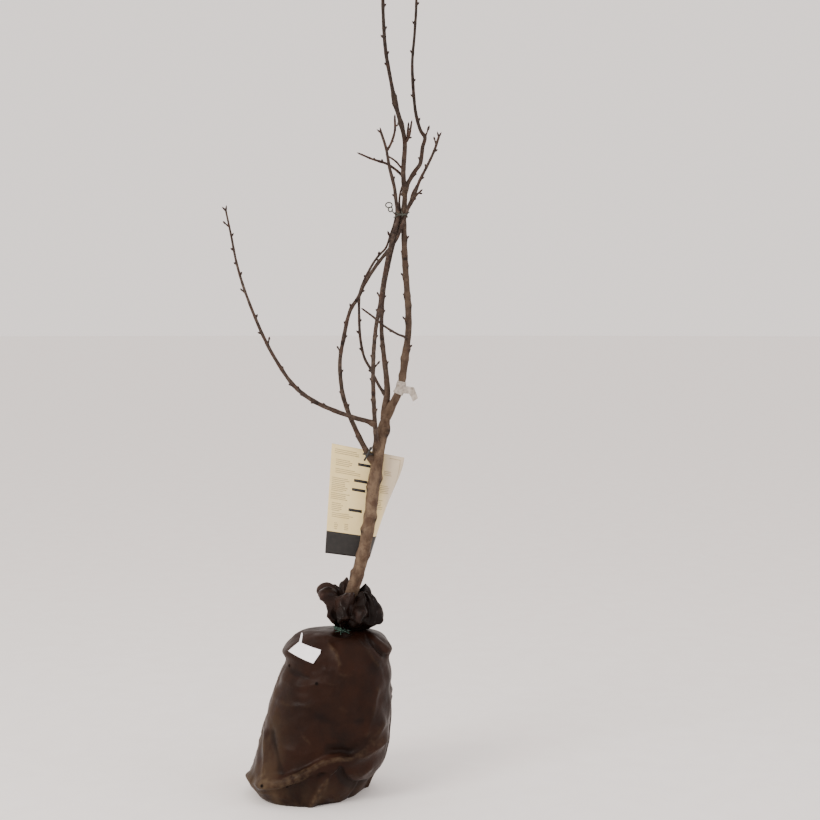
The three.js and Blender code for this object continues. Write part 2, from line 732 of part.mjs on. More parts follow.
// Wire tie round the crown: two crossed turns and two loose loops of wire at the left
function crownTie(limbTubes) {
  const held = [THIN_BOUGH, FRONT_BOUGH, MIDDLE_BOUGH, LEADER, LEFT_BOUGH];
  const turns = [4, -4].map((tilt) => turnRound(held, TIE_Z, tilt, TIE_WIRE));
  const loop = (x, z, wide, high) => solid(
    new THREE.TorusGeometry(1, TIE_WIRE / wide, 4, 10).scale(wide, high, wide)
      .rotateX(Math.PI / 2).rotateZ(0.4).translate(x, -3, z),
  );
  const loops = [loop(123.5, 1029, 5.6, 4.5), loop(126.2, 1021.5, 3.6, 3.8)];
  const lead = solid(tube({
    route: [[132, -1, 1015], [130, -2, 1018], [128, -3, 1020]],
    radii: [TIE_WIRE, TIE_WIRE],
    openTip: true,
    sides: 5,
  }));
  return cut(fuse([...turns, ...loops, lead]), limbTubes);
}

// Care card: a bent sheet whose lower right part rolls back
function cardPoint(u, v, side) {
  const flat = THREE.MathUtils.lerp(CARD.width, CARD.flatFoot, v ** 0.8);
  const along = u * CARD.width;
  const rolled = Math.max(0, along - flat);
  const angle = rolled / CARD.curl;
  const radius = CARD.curl - side * CARD.thick;
  const x = Math.min(along, flat) + Math.sin(angle) * radius;
  const y = rolled > 0 ? CARD.curl - Math.cos(angle) * radius : side * CARD.thick;
  return new THREE.Vector3(x, y + 4 * v, 0);
}

function careCard(tools) {
  const columns = 12;
  const rows = 7;
  const topLeft = new THREE.Vector3(23, 13.25, 615);
  const footLeft = new THREE.Vector3(10, 17.5, 420);
  const rings = [];
  for (let r = 0; r <= rows; r++) {
    const v = r / rows;
    const start = topLeft.clone().lerp(footLeft, v);
    const drop = THREE.MathUtils.lerp(-0.2, -0.13, v);
    const front = [];
    const back = [];
    for (let c = 0; c <= columns; c++) {
      const u = c / columns;
      for (const [list, side] of [[front, 0], [back, 1]]) {
        const p = cardPoint(u, v, side);
        list.push(new THREE.Vector3(start.x + p.x, start.y + p.y, start.z + p.x * drop));
      }
    }
    rings.push([...front, ...back.reverse()]);
  }
  return cut(solid(loft(rings.reverse(), { sheet: true })), tools);
}

function cardTie(tools) {
  return cut(turnRound([TRUNK, FRONT_BOUGH, LEFT_BOUGH], CARD.tieZ, CARD.tieTilt, TIE_WIRE), tools);
}

// Tag lying on the shoulder of the bag: its outline as seen from the front, pressed on the film
function bagTag(ball) {
  const outline = [
    [-50, 264], [-33, 281], [-30, 286], [-28, 286], [-28, 281], [6, 270], [5, 256], [-6, 246],
  ];
  const shape = new THREE.Shape(outline.map((p) => new THREE.Vector2(...p)));
  const deep = 90;
  const block = new THREE.ExtrudeGeometry(shape, { depth: deep, bevelEnabled: false, steps: 1 });
  block.rotateX(Math.PI / 2).translate(0, -10, 0);
  const body = solid(block);
  return body
    .intersect(solid(swollen(ball, CLEAR + TAG_THICK)))
    .subtract(solid(swollen(ball, CLEAR)));
}

// Clear sleeve round the leader with a folded tail
function stemLabel(leaderTool) {
  const range = SLEEVE.heights.map((z) => shareAtHeight(lineOf(LEADER), z));
  const around = tube({ ...LEADER, step: SLEEVE.step }, CLEAR + SLEEVE.wall, range);
  const tail = new THREE.Shape([
    [143, 717], [152, 711], [166, 713], [174, 696], [170, 690], [161, 690], [158, 702], [141, 708],
  ].map((p) => new THREE.Vector2(...p)));
  const sheet = new THREE.ExtrudeGeometry(tail, { depth: SLEEVE.wall, bevelEnabled: false });
  sheet.rotateX(Math.PI / 2).translate(0, -4.6, 0);
  return solid(around).add(solid(sheet)).subtract(leaderTool);
}

// The whole plant
const group = new THREE.Group();

function addPart(name, body, look) {
  const geometry = geometryOf(body);
  geometry.computeBoundingBox();
  const foot = geometry.boundingBox.getCenter(new THREE.Vector3());
  foot.z = geometry.boundingBox.min.z;
  geometry.translate(-foot.x, -foot.y, -foot.z);
  const mesh = new THREE.Mesh(geometry, new THREE.MeshStandardMaterial(COLOURS[look]));
  mesh.name = name;
  mesh.position.copy(foot);
  group.add(mesh);
}

const tools = Object.fromEntries(LIMBS.map((limb) => [limb.name, solid(tube(limb, CLEAR))]));
const allTools = Object.values(tools);

addPart('root_ball', rootBall(), 'film');
addPart('bag_collar', collar(tools.trunk), 'collarFilm');
addPart('neck_twine', twine(), 'twine');

for (const limb of LIMBS) {
  const stood = (limb.on ?? []).map((name) => tools[name]);
  const look = limb === TRUNK || limb === LEADER ? 'bark' : 'youngBark';
  for (const { name, range } of piecesOf(limb)) {
    const body = fuse([solid(tube(limb, 0, range)), ...budsOf(limb, range)]);
    addPart(name, cut(body, stood), look);
  }
}

for (const mass of TWIG_MASSES) {
  addPart(mass.name, cut(growTwigs(mass, allTools), [tools[mass.from]]), 'twig');
}

addPart('crown_tie', crownTie(allTools), 'wire');
addPart('care_label', careCard(allTools), 'card');
addPart('label_tie', cardTie(allTools), 'strap');
addPart('bag_tag', bagTag(ballGeometry()), 'tag');
addPart('stem_label', stemLabel(tools.leader), 'sleeve');

export default group;
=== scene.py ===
# %% [markdown]
# # A bare young tree on its wrapped root ball
#
# A nursery lifts a young tree in winter. The roots stay in a ball of soil, the ball goes into a
# sack of brown film, and twine ties the sack round the foot of the trunk. The plain solids of
# that plant are already made at their real size. This script loads them as a fixed frame and
# dresses each one: bark with relief, buds, crumpled film, twine, wire and labels.

import math

import bmesh
import bpy
import numpy as np
from mathutils import Matrix, Vector, noise
from mathutils.bvhtree import BVHTree


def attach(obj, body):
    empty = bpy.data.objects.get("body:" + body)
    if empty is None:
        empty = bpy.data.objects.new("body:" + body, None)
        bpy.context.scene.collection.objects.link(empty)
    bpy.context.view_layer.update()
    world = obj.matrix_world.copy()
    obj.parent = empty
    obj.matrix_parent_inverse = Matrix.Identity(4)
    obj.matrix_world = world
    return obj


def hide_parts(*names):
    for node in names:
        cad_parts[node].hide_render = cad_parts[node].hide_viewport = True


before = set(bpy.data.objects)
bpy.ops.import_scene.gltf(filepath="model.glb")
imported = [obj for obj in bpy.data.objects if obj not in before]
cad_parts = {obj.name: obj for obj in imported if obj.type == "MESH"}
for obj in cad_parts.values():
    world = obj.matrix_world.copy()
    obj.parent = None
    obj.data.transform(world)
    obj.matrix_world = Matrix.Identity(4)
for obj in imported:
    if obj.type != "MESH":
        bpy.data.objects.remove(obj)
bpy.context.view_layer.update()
MM = 0.001

# %% [markdown]
# ## Camera, floor and light
#
# The plant stands on a pale floor in soft daylight. The camera is at about half its height and
# looks slightly down, so that the top of the sack just shows. A broad light from the upper left,
# a weak cool one from the right and a pale world give shadows with soft edges.

# %% Camera
camera = bpy.data.objects.new("camera", bpy.data.cameras.new("camera"))
camera.location = (0.160, -2.710, 0.840)
camera.rotation_euler = (math.radians(86.5), 0, 0)
camera.data.sensor_width = 36
camera.data.lens = 68.4
bpy.context.collection.objects.link(camera)
bpy.context.scene.camera = camera


# %% Colours as they are mixed: a hex value for the eye, turned into linear light
def paint(hex_value):
    """Linear colour for a hex value such as 6f5d50."""
    shares = [int(hex_value[k:k + 2], 16) / 255 for k in (0, 2, 4)]
    linear = [s / 12.92 if s <= 0.04045 else ((s + 0.055) / 1.055) ** 2.4 for s in shares]
    return (*linear, 1.0)


# %% [markdown]
# ## A short way to write finishes
#
# Every finish is one Principled shader with a few pattern nodes before it. The patterns read the
# place on the object or a value kept at its points, so they stay where they are when the view
# changes. The class below adds the nodes that all finishes need: noise, ramps, mixes and bumps.

# %% The finish builder
class Finish:
    """A material built from a few pattern nodes before one Principled shader."""

    def __init__(self, name, roughness, **constants):
        self.material = bpy.data.materials.new(name)
        self.material.use_nodes = True
        self.tree = self.material.node_tree
        self.shader = self.tree.nodes["Principled BSDF"]
        self.shader.inputs["Roughness"].default_value = roughness
        for socket, value in constants.items():
            self.shader.inputs[socket.replace("_", " ")].default_value = value
        self.place = self.node("TexCoord", {}).outputs["Object"]

    def node(self, kind, inputs, **settings):
        """A new node; each input is a plain value or the socket that feeds it."""
        made = self.tree.nodes.new("ShaderNode" + kind)
        for name, value in settings.items():
            setattr(made, name, value)
        for socket, value in inputs.items():
            if isinstance(value, bpy.types.NodeSocket):
                self.tree.links.new(value, made.inputs[socket])
            else:
                made.inputs[socket].default_value = value
        return made

    def stretched(self, scale, turn=(0, 0, 0)):
        """The place on the object, squeezed or stretched along its axes."""
        inputs = {"Vector": self.place, "Scale": scale, "Rotation": turn}
        return self.node("Mapping", inputs).outputs["Vector"]

    def noise(self, size_mm, detail=4.0, rough=0.55, place=None, distortion=0.0):
        """Cloudy noise whose lumps are about size_mm across."""
        inputs = {
            "Vector": place or self.place, "Scale": 1 / (size_mm * MM), "Detail": detail,
            "Roughness": rough, "Distortion": distortion,
        }
        return self.node("TexNoise", inputs).outputs["Fac"]

    def attribute(self, name):
        """A value that the mesh keeps at its points."""
        return self.node("Attribute", {}, attribute_name=name).outputs["Fac"]

    def axis(self, which):
        """One coordinate of the place on the object."""
        return self.node("SeparateXYZ", {"Vector": self.place}).outputs[which]

    def fade(self, value, low, high, to_low=0.0, to_high=1.0):
        """A value read between two limits, smoothly."""
        inputs = {"Value": value, "From Min": low, "From Max": high, "To Min": to_low, "To Max": to_high}
        made = self.node("MapRange", inputs, interpolation_type="SMOOTHSTEP")
        return made.outputs["Result"]

    def times(self, first, second):
        """The product of two values."""
        return self.node("Math", {0: first, 1: second}, operation="MULTIPLY").outputs[0]

    def plus(self, first, second):
        """The sum of two values."""
        return self.node("Math", {0: first, 1: second}, operation="ADD").outputs[0]

    def mix(self, share, first, second):
        """The first colour, with a share of the second laid over it."""
        inputs = {0: share, 6: first, 7: second}
        return self.node("Mix", inputs, data_type="RGBA").outputs[2]

    def ramp(self, value, *stops):
        """A colour read from stops of position and colour."""
        made = self.node("ValToRGB", {"Fac": value})
        band = made.color_ramp
        while len(band.elements) < len(stops):
            band.elements.new(1.0)
        for element, (position, colour) in zip(band.elements, stops):
            element.position = position
            element.color = colour
        return made.outputs["Color"]

    def finish(self, colour, bump=None, depth_mm=0.2, roughness=None):
        """Joins the colour, the bump and the roughness to the shader."""
        self.tree.links.new(colour, self.shader.inputs["Base Color"])
        if bump is not None:
            inputs = {"Height": bump, "Strength": 1.0, "Distance": depth_mm * MM}
            made = self.node("Bump", inputs)
            self.tree.links.new(made.outputs["Normal"], self.shader.inputs["Normal"])
        if roughness is not None:
            self.tree.links.new(roughness, self.shader.inputs["Roughness"])
        return self.material


def mottled_finish(name, roughness, specular, tone, stops, grain, depth_mm, stretch=None, **constants):
    """A finish of one cloudy colour over fine grain; tone and grain are a size in mm and a detail."""
    finish = Finish(name, roughness, Specular_IOR_Level=specular, **constants)
    colour = finish.ramp(finish.noise(*tone), *[(at, paint(value)) for at, value in stops])
    place = finish.stretched(stretch) if stretch else None
    return finish.finish(colour, finish.noise(*grain, place=place), depth_mm)


# %% Floor and lights
def pale_floor():
    """A wide disc just under the plant, which belongs to the stage."""
    finish = Finish("pale_floor", roughness=0.7)
    mottle = finish.noise(60, detail=3)
    colour = finish.ramp(mottle, (0.3, paint("f5f1ef")), (0.7, paint("f8f5f3")))
    bm = bmesh.new()
    bmesh.ops.create_circle(bm, cap_ends=True, segments=96, radius=60)
    mesh = bpy.data.meshes.new("floor")
    bm.to_mesh(mesh)
    bm.free()
    mesh.materials.append(finish.finish(colour))
    floor = bpy.data.objects.new("floor", mesh)
    floor.location.z = -0.0002
    bpy.context.collection.objects.link(floor)


def soft_light(name, place, aim, size, power, colour):
    """A square lamp in metres and watts, turned to the point that it aims at."""
    light = bpy.data.lights.new(name, "AREA")
    light.size = size
    light.energy = power
    light.color = colour[:3]
    lamp = bpy.data.objects.new(name, light)
    lamp.location = place
    lamp.rotation_euler = (Vector(aim) - Vector(place)).to_track_quat("-Z", "Y").to_euler()
    bpy.context.collection.objects.link(lamp)


def pale_world():
    """An even pale sky."""
    world = bpy.data.worlds.new("pale_world")
    world.use_nodes = True
    sky = world.node_tree.nodes["Background"]
    sky.inputs["Color"].default_value = paint("ebe2dd")
    sky.inputs["Strength"].default_value = 1.7
    bpy.context.scene.world = world


pale_floor()
pale_world()
soft_light("window_left", (-2.2, -2.4, 2.4), (0, 0, 0.6), 1.6, 112, paint("fff9f2"))
soft_light("window_right", (2.6, -1.4, 1.6), (0, 0, 0.6), 2.0, 22, paint("f4f6ff"))


# %% [markdown]
# ## Pieces
#
# A piece is a mesh with one finish. It rides on the plant's single body, and may stand for one
# or more of the plain solids, which are then hidden. Every mesh is made in place, in metres, so
# its object stays at the origin.

# %% Turning a bmesh into a piece
def piece_from(bm, name, finish, slot, *nodes):
    """Turns a bmesh into a piece, with the solids that it stands for; its slot is not used."""
    bmesh.ops.recalc_face_normals(bm, faces=bm.faces)
    mesh = bpy.data.meshes.new(name)
    bm.to_mesh(mesh)
    bm.free()
    mesh.polygons.foreach_set("use_smooth", [True] * len(mesh.polygons))
    mesh.materials.append(finish)
    piece = bpy.data.objects.new(name, mesh)
    bpy.context.collection.objects.link(piece)
    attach(piece, "root")
    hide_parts(*nodes)
    mesh.calc_loop_triangles()
    print(name, len(mesh.loop_triangles), "triangles, for", ", ".join(nodes) or "nothing")
    return piece


# %% Giving a sheet its thickness
def thicken(bm, thickness_mm):
    """Adds a second side behind the one that the sheet faces, and closes the edges."""
    bm.normal_update()
    made = bmesh.ops.extrude_face_region(bm, geom=bm.faces[:], use_keep_orig=True)["geom"]
    for part in made:
        if isinstance(part, bmesh.types.BMVert):
            part.co -= part.normal * thickness_mm * MM


# %% [markdown]
# ## Middle lines
#
# A limb is drawn by the route of its middle line and a few radii. A centripetal Catmull-Rom
# curve passes through every route point and never loops between two that lie close together,
# which is why it suits a bough with sharp small bends. The solids follow the same kind of curve,
# so bark and solid lie within a few millimetres of each other.

# %% A middle line, measured along its own length
class MiddleLine:
    """A smooth line through route points, with places given as shares of its length."""

    def __init__(self, route, parts=400):
        self.points = [Vector(p) * MM for p in route]
        self.parts = parts
        places = [self.between(k / parts) for k in range(parts + 1)]
        lengths = [0.0]
        for here, there in zip(places, places[1:]):
            lengths.append(lengths[-1] + (there - here).length)
        self.places = places
        self.lengths = lengths
        self.length = lengths[-1]

    def between(self, t):
        """The point at t, counted in equal parts for each span between route points."""
        spans = len(self.points) - 1
        k = min(int(t * spans), spans - 1)
        s = t * spans - k
        b, c = self.points[k], self.points[k + 1]
        a = self.points[k - 1] if k else 2 * b - c
        d = self.points[k + 2] if k + 2 <= spans else 2 * c - b
        before, span, after = [(q - p).length ** 0.5 for p, q in ((a, b), (b, c), (c, d))]
        leave = ((b - a) / before - (c - a) / (before + span) + (c - b) / span) * span
        arrive = ((c - b) / span - (d - b) / (span + after) + (d - c) / after) * span
        first = b * (2 * s ** 3 - 3 * s * s + 1) + leave * (s ** 3 - 2 * s * s + s)
        return first + c * (3 * s * s - 2 * s ** 3) + arrive * (s ** 3 - s * s)

    def part_at(self, share):
        """The place between the route's ends, as between() counts it, at a share of the length."""
        return float(np.interp(share * self.length, self.lengths, np.linspace(0, 1, self.parts + 1)))

    def at(self, share):
        """The point at a share of the length."""
        return self.between(self.part_at(share))

    def heading(self, share):
        """The way that the line runs at a share of the length."""
        t = self.part_at(share)
        return (self.between(min(t + 1e-4, 1)) - self.between(max(t - 1e-4, 0))).normalized()

    def share_at_height(self, z):
        """The share at which a line that rises reaches a height in metres."""
        low, high = 0.0, 1.0
        for _ in range(24):
            half = (low + high) / 2
            if self.at(half).z < z:
                low = half
            else:
                high = half
        return (low + high) / 2


def radius_at(radii, share):
    """Radius in metres at a share of the length, from radii in mm spread evenly."""
    return float(np.interp(share, np.linspace(0, 1, len(radii)), radii)) * MM


# %% [markdown]
# ## The limbs
#
# Each limb has a route from foot to tip, its radii, the limbs that it stands on, and its buds as
# side (-1 left, 1 right), height and length; those of the trunk are healed knobs. A swelling is a
# height, how far it spreads and what it adds to the radius. A tip splay says how far each bud at
# the tip leans to the side. All sizes here are millimetres.

# %% Trunk and boughs
LIMBS = {
    "trunk": {
        "route": [
            (44.5, 0, 288), (47, 0, 320), (61, 0, 363), (70, 0, 393), (81, 0, 437), (89, 0, 481),
            (96, 0, 534), (102, 0, 578), (106, 0, 611), (113, 1, 639), (119, 3, 667),
        ],
        "radii": [12, 11.6, 10.9, 10.8, 10.7, 10.5, 10.8, 10.9, 7.6],
        "buds": [
            (1, 555, 3.4), (-1, 538, 3.2), (1, 487, 3.4), (-1, 464, 3), (-1, 386, 3.4), (1, 420, 3),
            (1, 636, 5), (1, 644, 4.4),
        ],
    },
    "leader": {
        "route": [
            (119, 3, 662), (127, 2, 680), (135, 1, 694), (145, 0, 720), (151, 2, 762), (157, 4, 809),
            (157, 4, 847), (152, 3, 921), (150, 1, 970), (149, 0, 1013), (151, 0, 1042),
            (148.5, 0, 1086), (151, 0, 1136), (146, 0, 1164), (136, -2, 1198), (125, -5, 1252),
            (118, -8, 1294), (114, -8, 1358), (114, -9, 1430), (118, -11, 1530), (121, -12, 1612),
        ],
        "radii": [7.6, 5.6, 5.4, 4.7, 4, 3.15, 3, 2.5, 1.9],
        "buds": [
            (-1, 733, 4.5), (-1, 763, 6), (1, 781, 11), (-1, 829, 12), (1, 855, 5), (-1, 873, 7),
            (-1, 905, 11), (1, 924, 4), (-1, 947, 6), (1, 971, 9), (-1, 992, 5), (1, 996, 5),
            (-1, 1168, 7), (-1, 1201, 6), (1, 1213, 6), (-1, 1268, 7), (1, 1286, 7), (-1, 1314, 8),
            (1, 1328, 7), (1, 1367, 7), (-1, 1404, 7), (1, 1441, 7), (-1, 1478, 7), (1, 1513, 7),
            (-1, 1546, 6), (1, 1575, 6), (-1, 1598, 6),
        ],
        "swellings": [(1207, 14, 1.3), (1168, 10, 0.6), (763, 14, 0.8)],
        "on": ["trunk"],
    },
    "middle_bough": {
        "route": [
            (117, 4, 658), (118, 9, 683), (120, 14, 706), (119, 18, 727), (113, 26, 778),
            (110, 28, 814), (111, 27, 849), (114, 22, 882), (126, 13, 941), (139, 7, 989),
            (143.5, 8, 1015), (141.5, 9, 1032), (142.5, 10, 1048), (147, 8, 1064),
        ],
        "radii": [7.4, 4.9, 3.9, 3.5, 3.1, 2.6, 1.6],
        "buds": [
            (1, 754, 7), (-1, 784, 5), (1, 845, 6), (1, 871, 6), (-1, 921, 5), (-1, 951, 5),
        ],
        "on": ["trunk", "leader"],
    },
    "thin_bough": {
        "route": [
            (119, 13, 697), (107, 13, 714), (91, 18, 745), (80, 22, 765), (73, 24, 798), (71, 22, 837),
            (73, 18, 880), (91, 14, 921), (105, 12, 942), (118, 9, 956), (126, 3, 978), (132, 0, 995),
            (136, -1, 1014), (136, 0, 1027),
        ],
        "radii": [2.8, 2.5, 2.4, 2.2, 2, 1.7],
        "buds": [
            (-1, 742, 6), (-1, 779, 6), (-1, 808, 8), (1, 829, 5), (-1, 862, 6), (-1, 905, 5),
            (-1, 944, 7),
        ],
        "on": ["middle_bough"],
    },
    "front_bough": {
        "route": [
            (103, 1, 592), (102, -10, 614), (99, -33, 663), (97, -51, 732), (98, -54, 773),
            (101, -52, 811), (109, -40, 860), (115, -27, 902), (121, -18, 935), (130, -11, 972),
            (136, -9, 993), (140, -7, 1013), (137, -9, 1028), (133, -16, 1059), (125, -23, 1091),
            (119, -28, 1124), (111, -32, 1149),
        ],
        "radii": [4.8, 4, 3.6, 3.5, 3.4, 3.4, 3.3, 2.9, 2.2],
        "buds": [
            (1, 675, 6), (-1, 692, 6), (-1, 728, 7), (1, 751, 15), (-1, 768, 6), (1, 803, 5),
            (-1, 846, 6), (-1, 870, 12), (1, 898, 6), (1, 943, 7), (-1, 968, 17), (-1, 1044, 6),
            (1, 1072, 6),
        ],
        "tip_splay": [-0.9, 0.1],
        "on": ["trunk"],
    },
    "left_bough": {
        "route": [
            (99, 1, 581), (86, -6, 600), (63, -12, 647), (50, -16, 680), (43, -20, 707), (39, -22, 757),
            (45, -20, 797), (57, -12, 848), (70, -6, 869), (80, -4, 891), (101, -3, 924),
            (126, -4, 956), (137, -7, 971), (145, -9, 991), (153, -10, 1011), (160, -12, 1033),
            (168, -16, 1046), (176, -21, 1068), (191, -27, 1097), (202, -31, 1121), (209, -33, 1142),
        ],
        "radii": [5.6, 4.4, 3.7, 3.4, 3.3, 3.2, 3, 2.9, 2.7, 2.5, 2.1],
        "buds": [
            (-1, 628, 6), (1, 680, 7), (-1, 705, 6), (1, 741, 7), (-1, 777, 12), (1, 802, 6),
            (-1, 824, 6), (-1, 853, 7), (1, 881, 6), (-1, 898, 7), (-1, 931, 5), (1, 1074, 6),
            (-1, 1092, 6), (1, 1119, 7), (-1, 1131, 13),
        ],
        "tip_splay": [-0.6, 0.2],
        "on": ["trunk"],
    },
    "outer_bough": {
        "route": [
            (100, -30, 651), (86, -33, 657), (66, -40, 663), (29, -52, 677), (-2, -60, 692),
            (-36, -62, 718), (-69, -56, 764), (-93, -48, 809), (-122, -36, 879), (-137, -28, 927),
            (-147, -22, 975), (-156, -20, 1018),
        ],
        "radii": [4.3, 3.7, 3.3, 2.9, 2.5, 2.1, 1.7],
        "buds": [
            (-1, 676, 6), (1, 684, 6), (-1, 693, 6), (-1, 705, 7), (1, 713, 6), (-1, 722, 7),
            (1, 748, 5), (1, 790, 13), (-1, 809, 7), (1, 835, 8), (-1, 879, 12), (1, 908, 7),
            (-1, 927, 7), (-1, 951, 7), (1, 975, 7), (-1, 992, 15), (1, 1005, 8),
        ],
        "tip_splay": [-0.75, 0.3],
        "on": ["front_bough"],
    },
    "right_bough": {
        "route": [
            (149, 0, 1045), (156, 6, 1066), (169, 12, 1089), (177, 18, 1100), (180, 24, 1114),
            (182, 30, 1132), (186, 34, 1149), (179, 36, 1160), (171, 39, 1187), (167, 40, 1218),
            (164, 40, 1277), (168, 40, 1329), (171, 40, 1384), (169, 37, 1450), (173, 34, 1530),
        ],
        "radii": [3.9, 3.4, 2.9, 2.5, 2.3, 2.1, 1.7],
        "buds": [
            (1, 1083, 6), (-1, 1110, 6), (1, 1151, 21), (1, 1178, 7), (-1, 1221, 7), (1, 1247, 6),
            (-1, 1296, 7), (-1, 1346, 7), (1, 1379, 7), (-1, 1412, 7), (1, 1445, 7), (-1, 1476, 7),
            (1, 1503, 6),
        ],
        "on": ["leader"],
    },
    "side_shoot": {
        "route": [
            (155, 4, 799), (148, -12, 803), (140, -26, 806), (116, -58, 821), (97, -74, 837),
            (85, -81, 846),
        ],
        "radii": [2.4, 2.1, 2, 1.9, 1.7],
        "buds": [
            (-1, 812, 5), (1, 826, 5),
        ],
        "on": ["leader"],
    },
}


# %% [markdown]
# ## Sweeping a limb
#
# A limb could be a curve with a bevel, but a curve can't carry relief. Here a ring is extruded
# along the middle line, station by station. Each new ring is moved by the step from one
# station's matrix to the next, which also turns it without twist. Then every point is pushed
# out or in, and the bark gets its lumps, its swollen nodes and its scars as real shape.

# %% Rings extruded along a line
def sweep(bm, stations, sides):
    """Extrudes a ring through stations of point, heading and radius, and closes both ends."""
    heading = stations[0][1]
    turn = heading.to_track_quat("Z", "Y")
    places = []
    for point, way, radius in stations:
        turn = heading.rotation_difference(way) @ turn
        heading = way
        places.append(Matrix.LocRotScale(point, turn, Vector((radius, radius, radius))))
    first = bmesh.ops.create_circle(bm, cap_ends=True, segments=sides, radius=1, matrix=places[0])
    rings = [first["verts"]]
    edges = list({edge for v in rings[0] for edge in v.link_edges})
    for before, after in zip(places, places[1:]):
        made = bmesh.ops.extrude_edge_only(bm, edges=edges)["geom"]
        rings.append([part for part in made if isinstance(part, bmesh.types.BMVert)])
        edges = [part for part in made if isinstance(part, bmesh.types.BMEdge)]
        bmesh.ops.transform(bm, matrix=after @ before.inverted(), verts=rings[-1])
    bmesh.ops.contextual_create(bm, geom=edges)
    return rings


def rounded_tip(stations):
    """Four more stations that close a limb with a rounded tip."""
    point, way, radius = stations[-1]
    shares = (0.35, 0.65, 0.87, 0.97)
    flatness = 0.8
    return [(point + way * radius * flatness * s, way, radius * math.sqrt(1 - s * s)) for s in shares]


# %% [markdown]
# ## Buds, by the same seeded rule as the solids
#
# The buds are listed with the limbs. How far each one is turned round its limb and how much it
# leans up comes from seeded numbers, by the rule that the solids follow too. A second bud stands
# a little above every third one, nearer the front or the back of the limb. No bud sits under the
# wire tie.

# %% Seeded numbers and the way a bud stands
# Height of the wire tie, how far from it no bud sits, and the share of a limb bare at each end
TIE_HEIGHT = 1012
TIE_BARE = 17
BARE_END = 0.004
# How far out in the limb a bud is rooted, as a share of the radius, and its swing in radians
BUD_SINK = 0.75
BUD_SWING = 0.9
# A second bud: how far above the first, its swing, its length, and the last share that has one
SECOND_BUD_GAP = 16
SECOND_BUD_SWING = 1.4
SECOND_BUD_LENGTH = 5.5
LAST_SECOND_BUD = 0.97
# A longer bud than this stands on a spur
SPUR_LENGTH = 10
LINES = {name: MiddleLine(limb["route"]) for name, limb in LIMBS.items()}


def seeded(seed):
    """Numbers from 0 to 1 that come out the same each time."""
    state = seed * 7919 + 17
    while True:
        state = state * 48271 % 2147483647
        yield state / 2147483647


def bud_way(heading, side, swing, lean):
    """Sideways, turned some way round, and leaning up the limb."""
    out = Vector((side * math.cos(swing), math.sin(swing), 0))
    out = (out - heading * out.dot(heading)).normalized()
    return (out * math.cos(lean) + heading * math.sin(lean)).normalized()


def buds_on(name):
    """Each bud of a limb: its share, its root, the way it points, the way out and its length."""
    limb, line = LIMBS[name], LINES[name]
    random = seeded(len(name) * 31 + len(limb["route"]))
    found = []

    def place(share, side, swing, length):
        lean = 0 if name == "trunk" else 0.75 + 0.2 * next(random)
        heading = line.heading(share)
        out = bud_way(heading, side, swing, 0)
        root = line.at(share) + out * radius_at(limb["radii"], share) * BUD_SINK
        under_tie = abs(root.z / MM - TIE_HEIGHT) < TIE_BARE
        if BARE_END < share < 1 - BARE_END and not under_tie:
            found.append((share, root, bud_way(heading, side, swing, lean), out, length))

    for i, (side, z, length) in enumerate(limb["buds"]):
        share = line.share_at_height(z * MM)
        place(share, side, (next(random) - 0.5) * BUD_SWING, length)
        further = share + SECOND_BUD_GAP * MM / line.length
        facing = -1 if next(random) < 0.5 else 1
        if i % 3 == 1 and name != "trunk" and further < LAST_SECOND_BUD:
            place(further, side, facing * SECOND_BUD_SWING, SECOND_BUD_LENGTH)
    return found


BUDS = {name: buds_on(name) for name in LIMBS}
print("buds and knobs:", {name: len(buds) for name, buds in BUDS.items()})


# %% The shape of one bud, and of a spur
def add_bud(bm, root, way, length, thick=1.0):
    """A ball drawn out to a point, its blunt end sunk in the bark; length is in mm."""
    radius = (1.4 + 0.1 * length) * thick * MM
    turn = way.to_track_quat("Z", "Y")
    made = bmesh.ops.create_uvsphere(bm, u_segments=8, v_segments=8, radius=1)["verts"]
    for v in made:
        pinch = 1 - 0.7 * max(0, v.co.z) ** 2.2
        v.co.x *= pinch
        v.co.y *= pinch
    centre = root + way * length * 0.3 * MM
    size = Vector((radius, radius * 0.9, length * 0.56 * MM))
    bmesh.ops.transform(bm, matrix=Matrix.LocRotScale(centre, turn, size), verts=made)


def add_spur(bm_wood, bm_buds, root, way, length):
    """A short ringed stalk that carries a bud."""
    stations = []
    steps = 8
    for k in range(steps + 1):
        along = k / steps * 0.62 * length
        ringed = 1.75 - 0.5 * k / steps + 0.16 * (-1) ** k
        rise = Vector((0, 0, 0.08 * along * k / steps)) * MM
        stations.append((root + way * (along - 2) * MM + rise, way, ringed * MM))
    sweep(bm_wood, stations, 8)
    tip = stations[-1][0]
    add_bud(bm_buds, tip, (way + Vector((0, 0, 0.25))).normalized(), 0.5 * length)


# %% [markdown]
# ## Bark
#
# Young bark is smooth but never even. The trunk is grey-brown with reddish blotches and healed
# knobs. Thinner wood is darker, and the youngest wood, above the wire tie, is the darkest. Each
# point keeps two values for the finish: girth, the limb's radius there in mm, and scar, which
# rises to 1 in the small hollow below a bud or a knob. The relief is made in the mesh, and the
# finish adds only the fine grain.

# %% Relief of the bark
# A bough leaves its parent within this many mm
DEEPEST_FOOT = 60
# Size of the lumps in mm, and how far they stand out as a share of the radius
BARK_LUMPS = [(8, 0.06), (24, 0.09)]
GRAIN_LENGTH = 9
# Old bud-scale rings: the shortest gap from one to the next, and how much it may grow
RING_GAP, RING_GAP_MORE = 35, 70


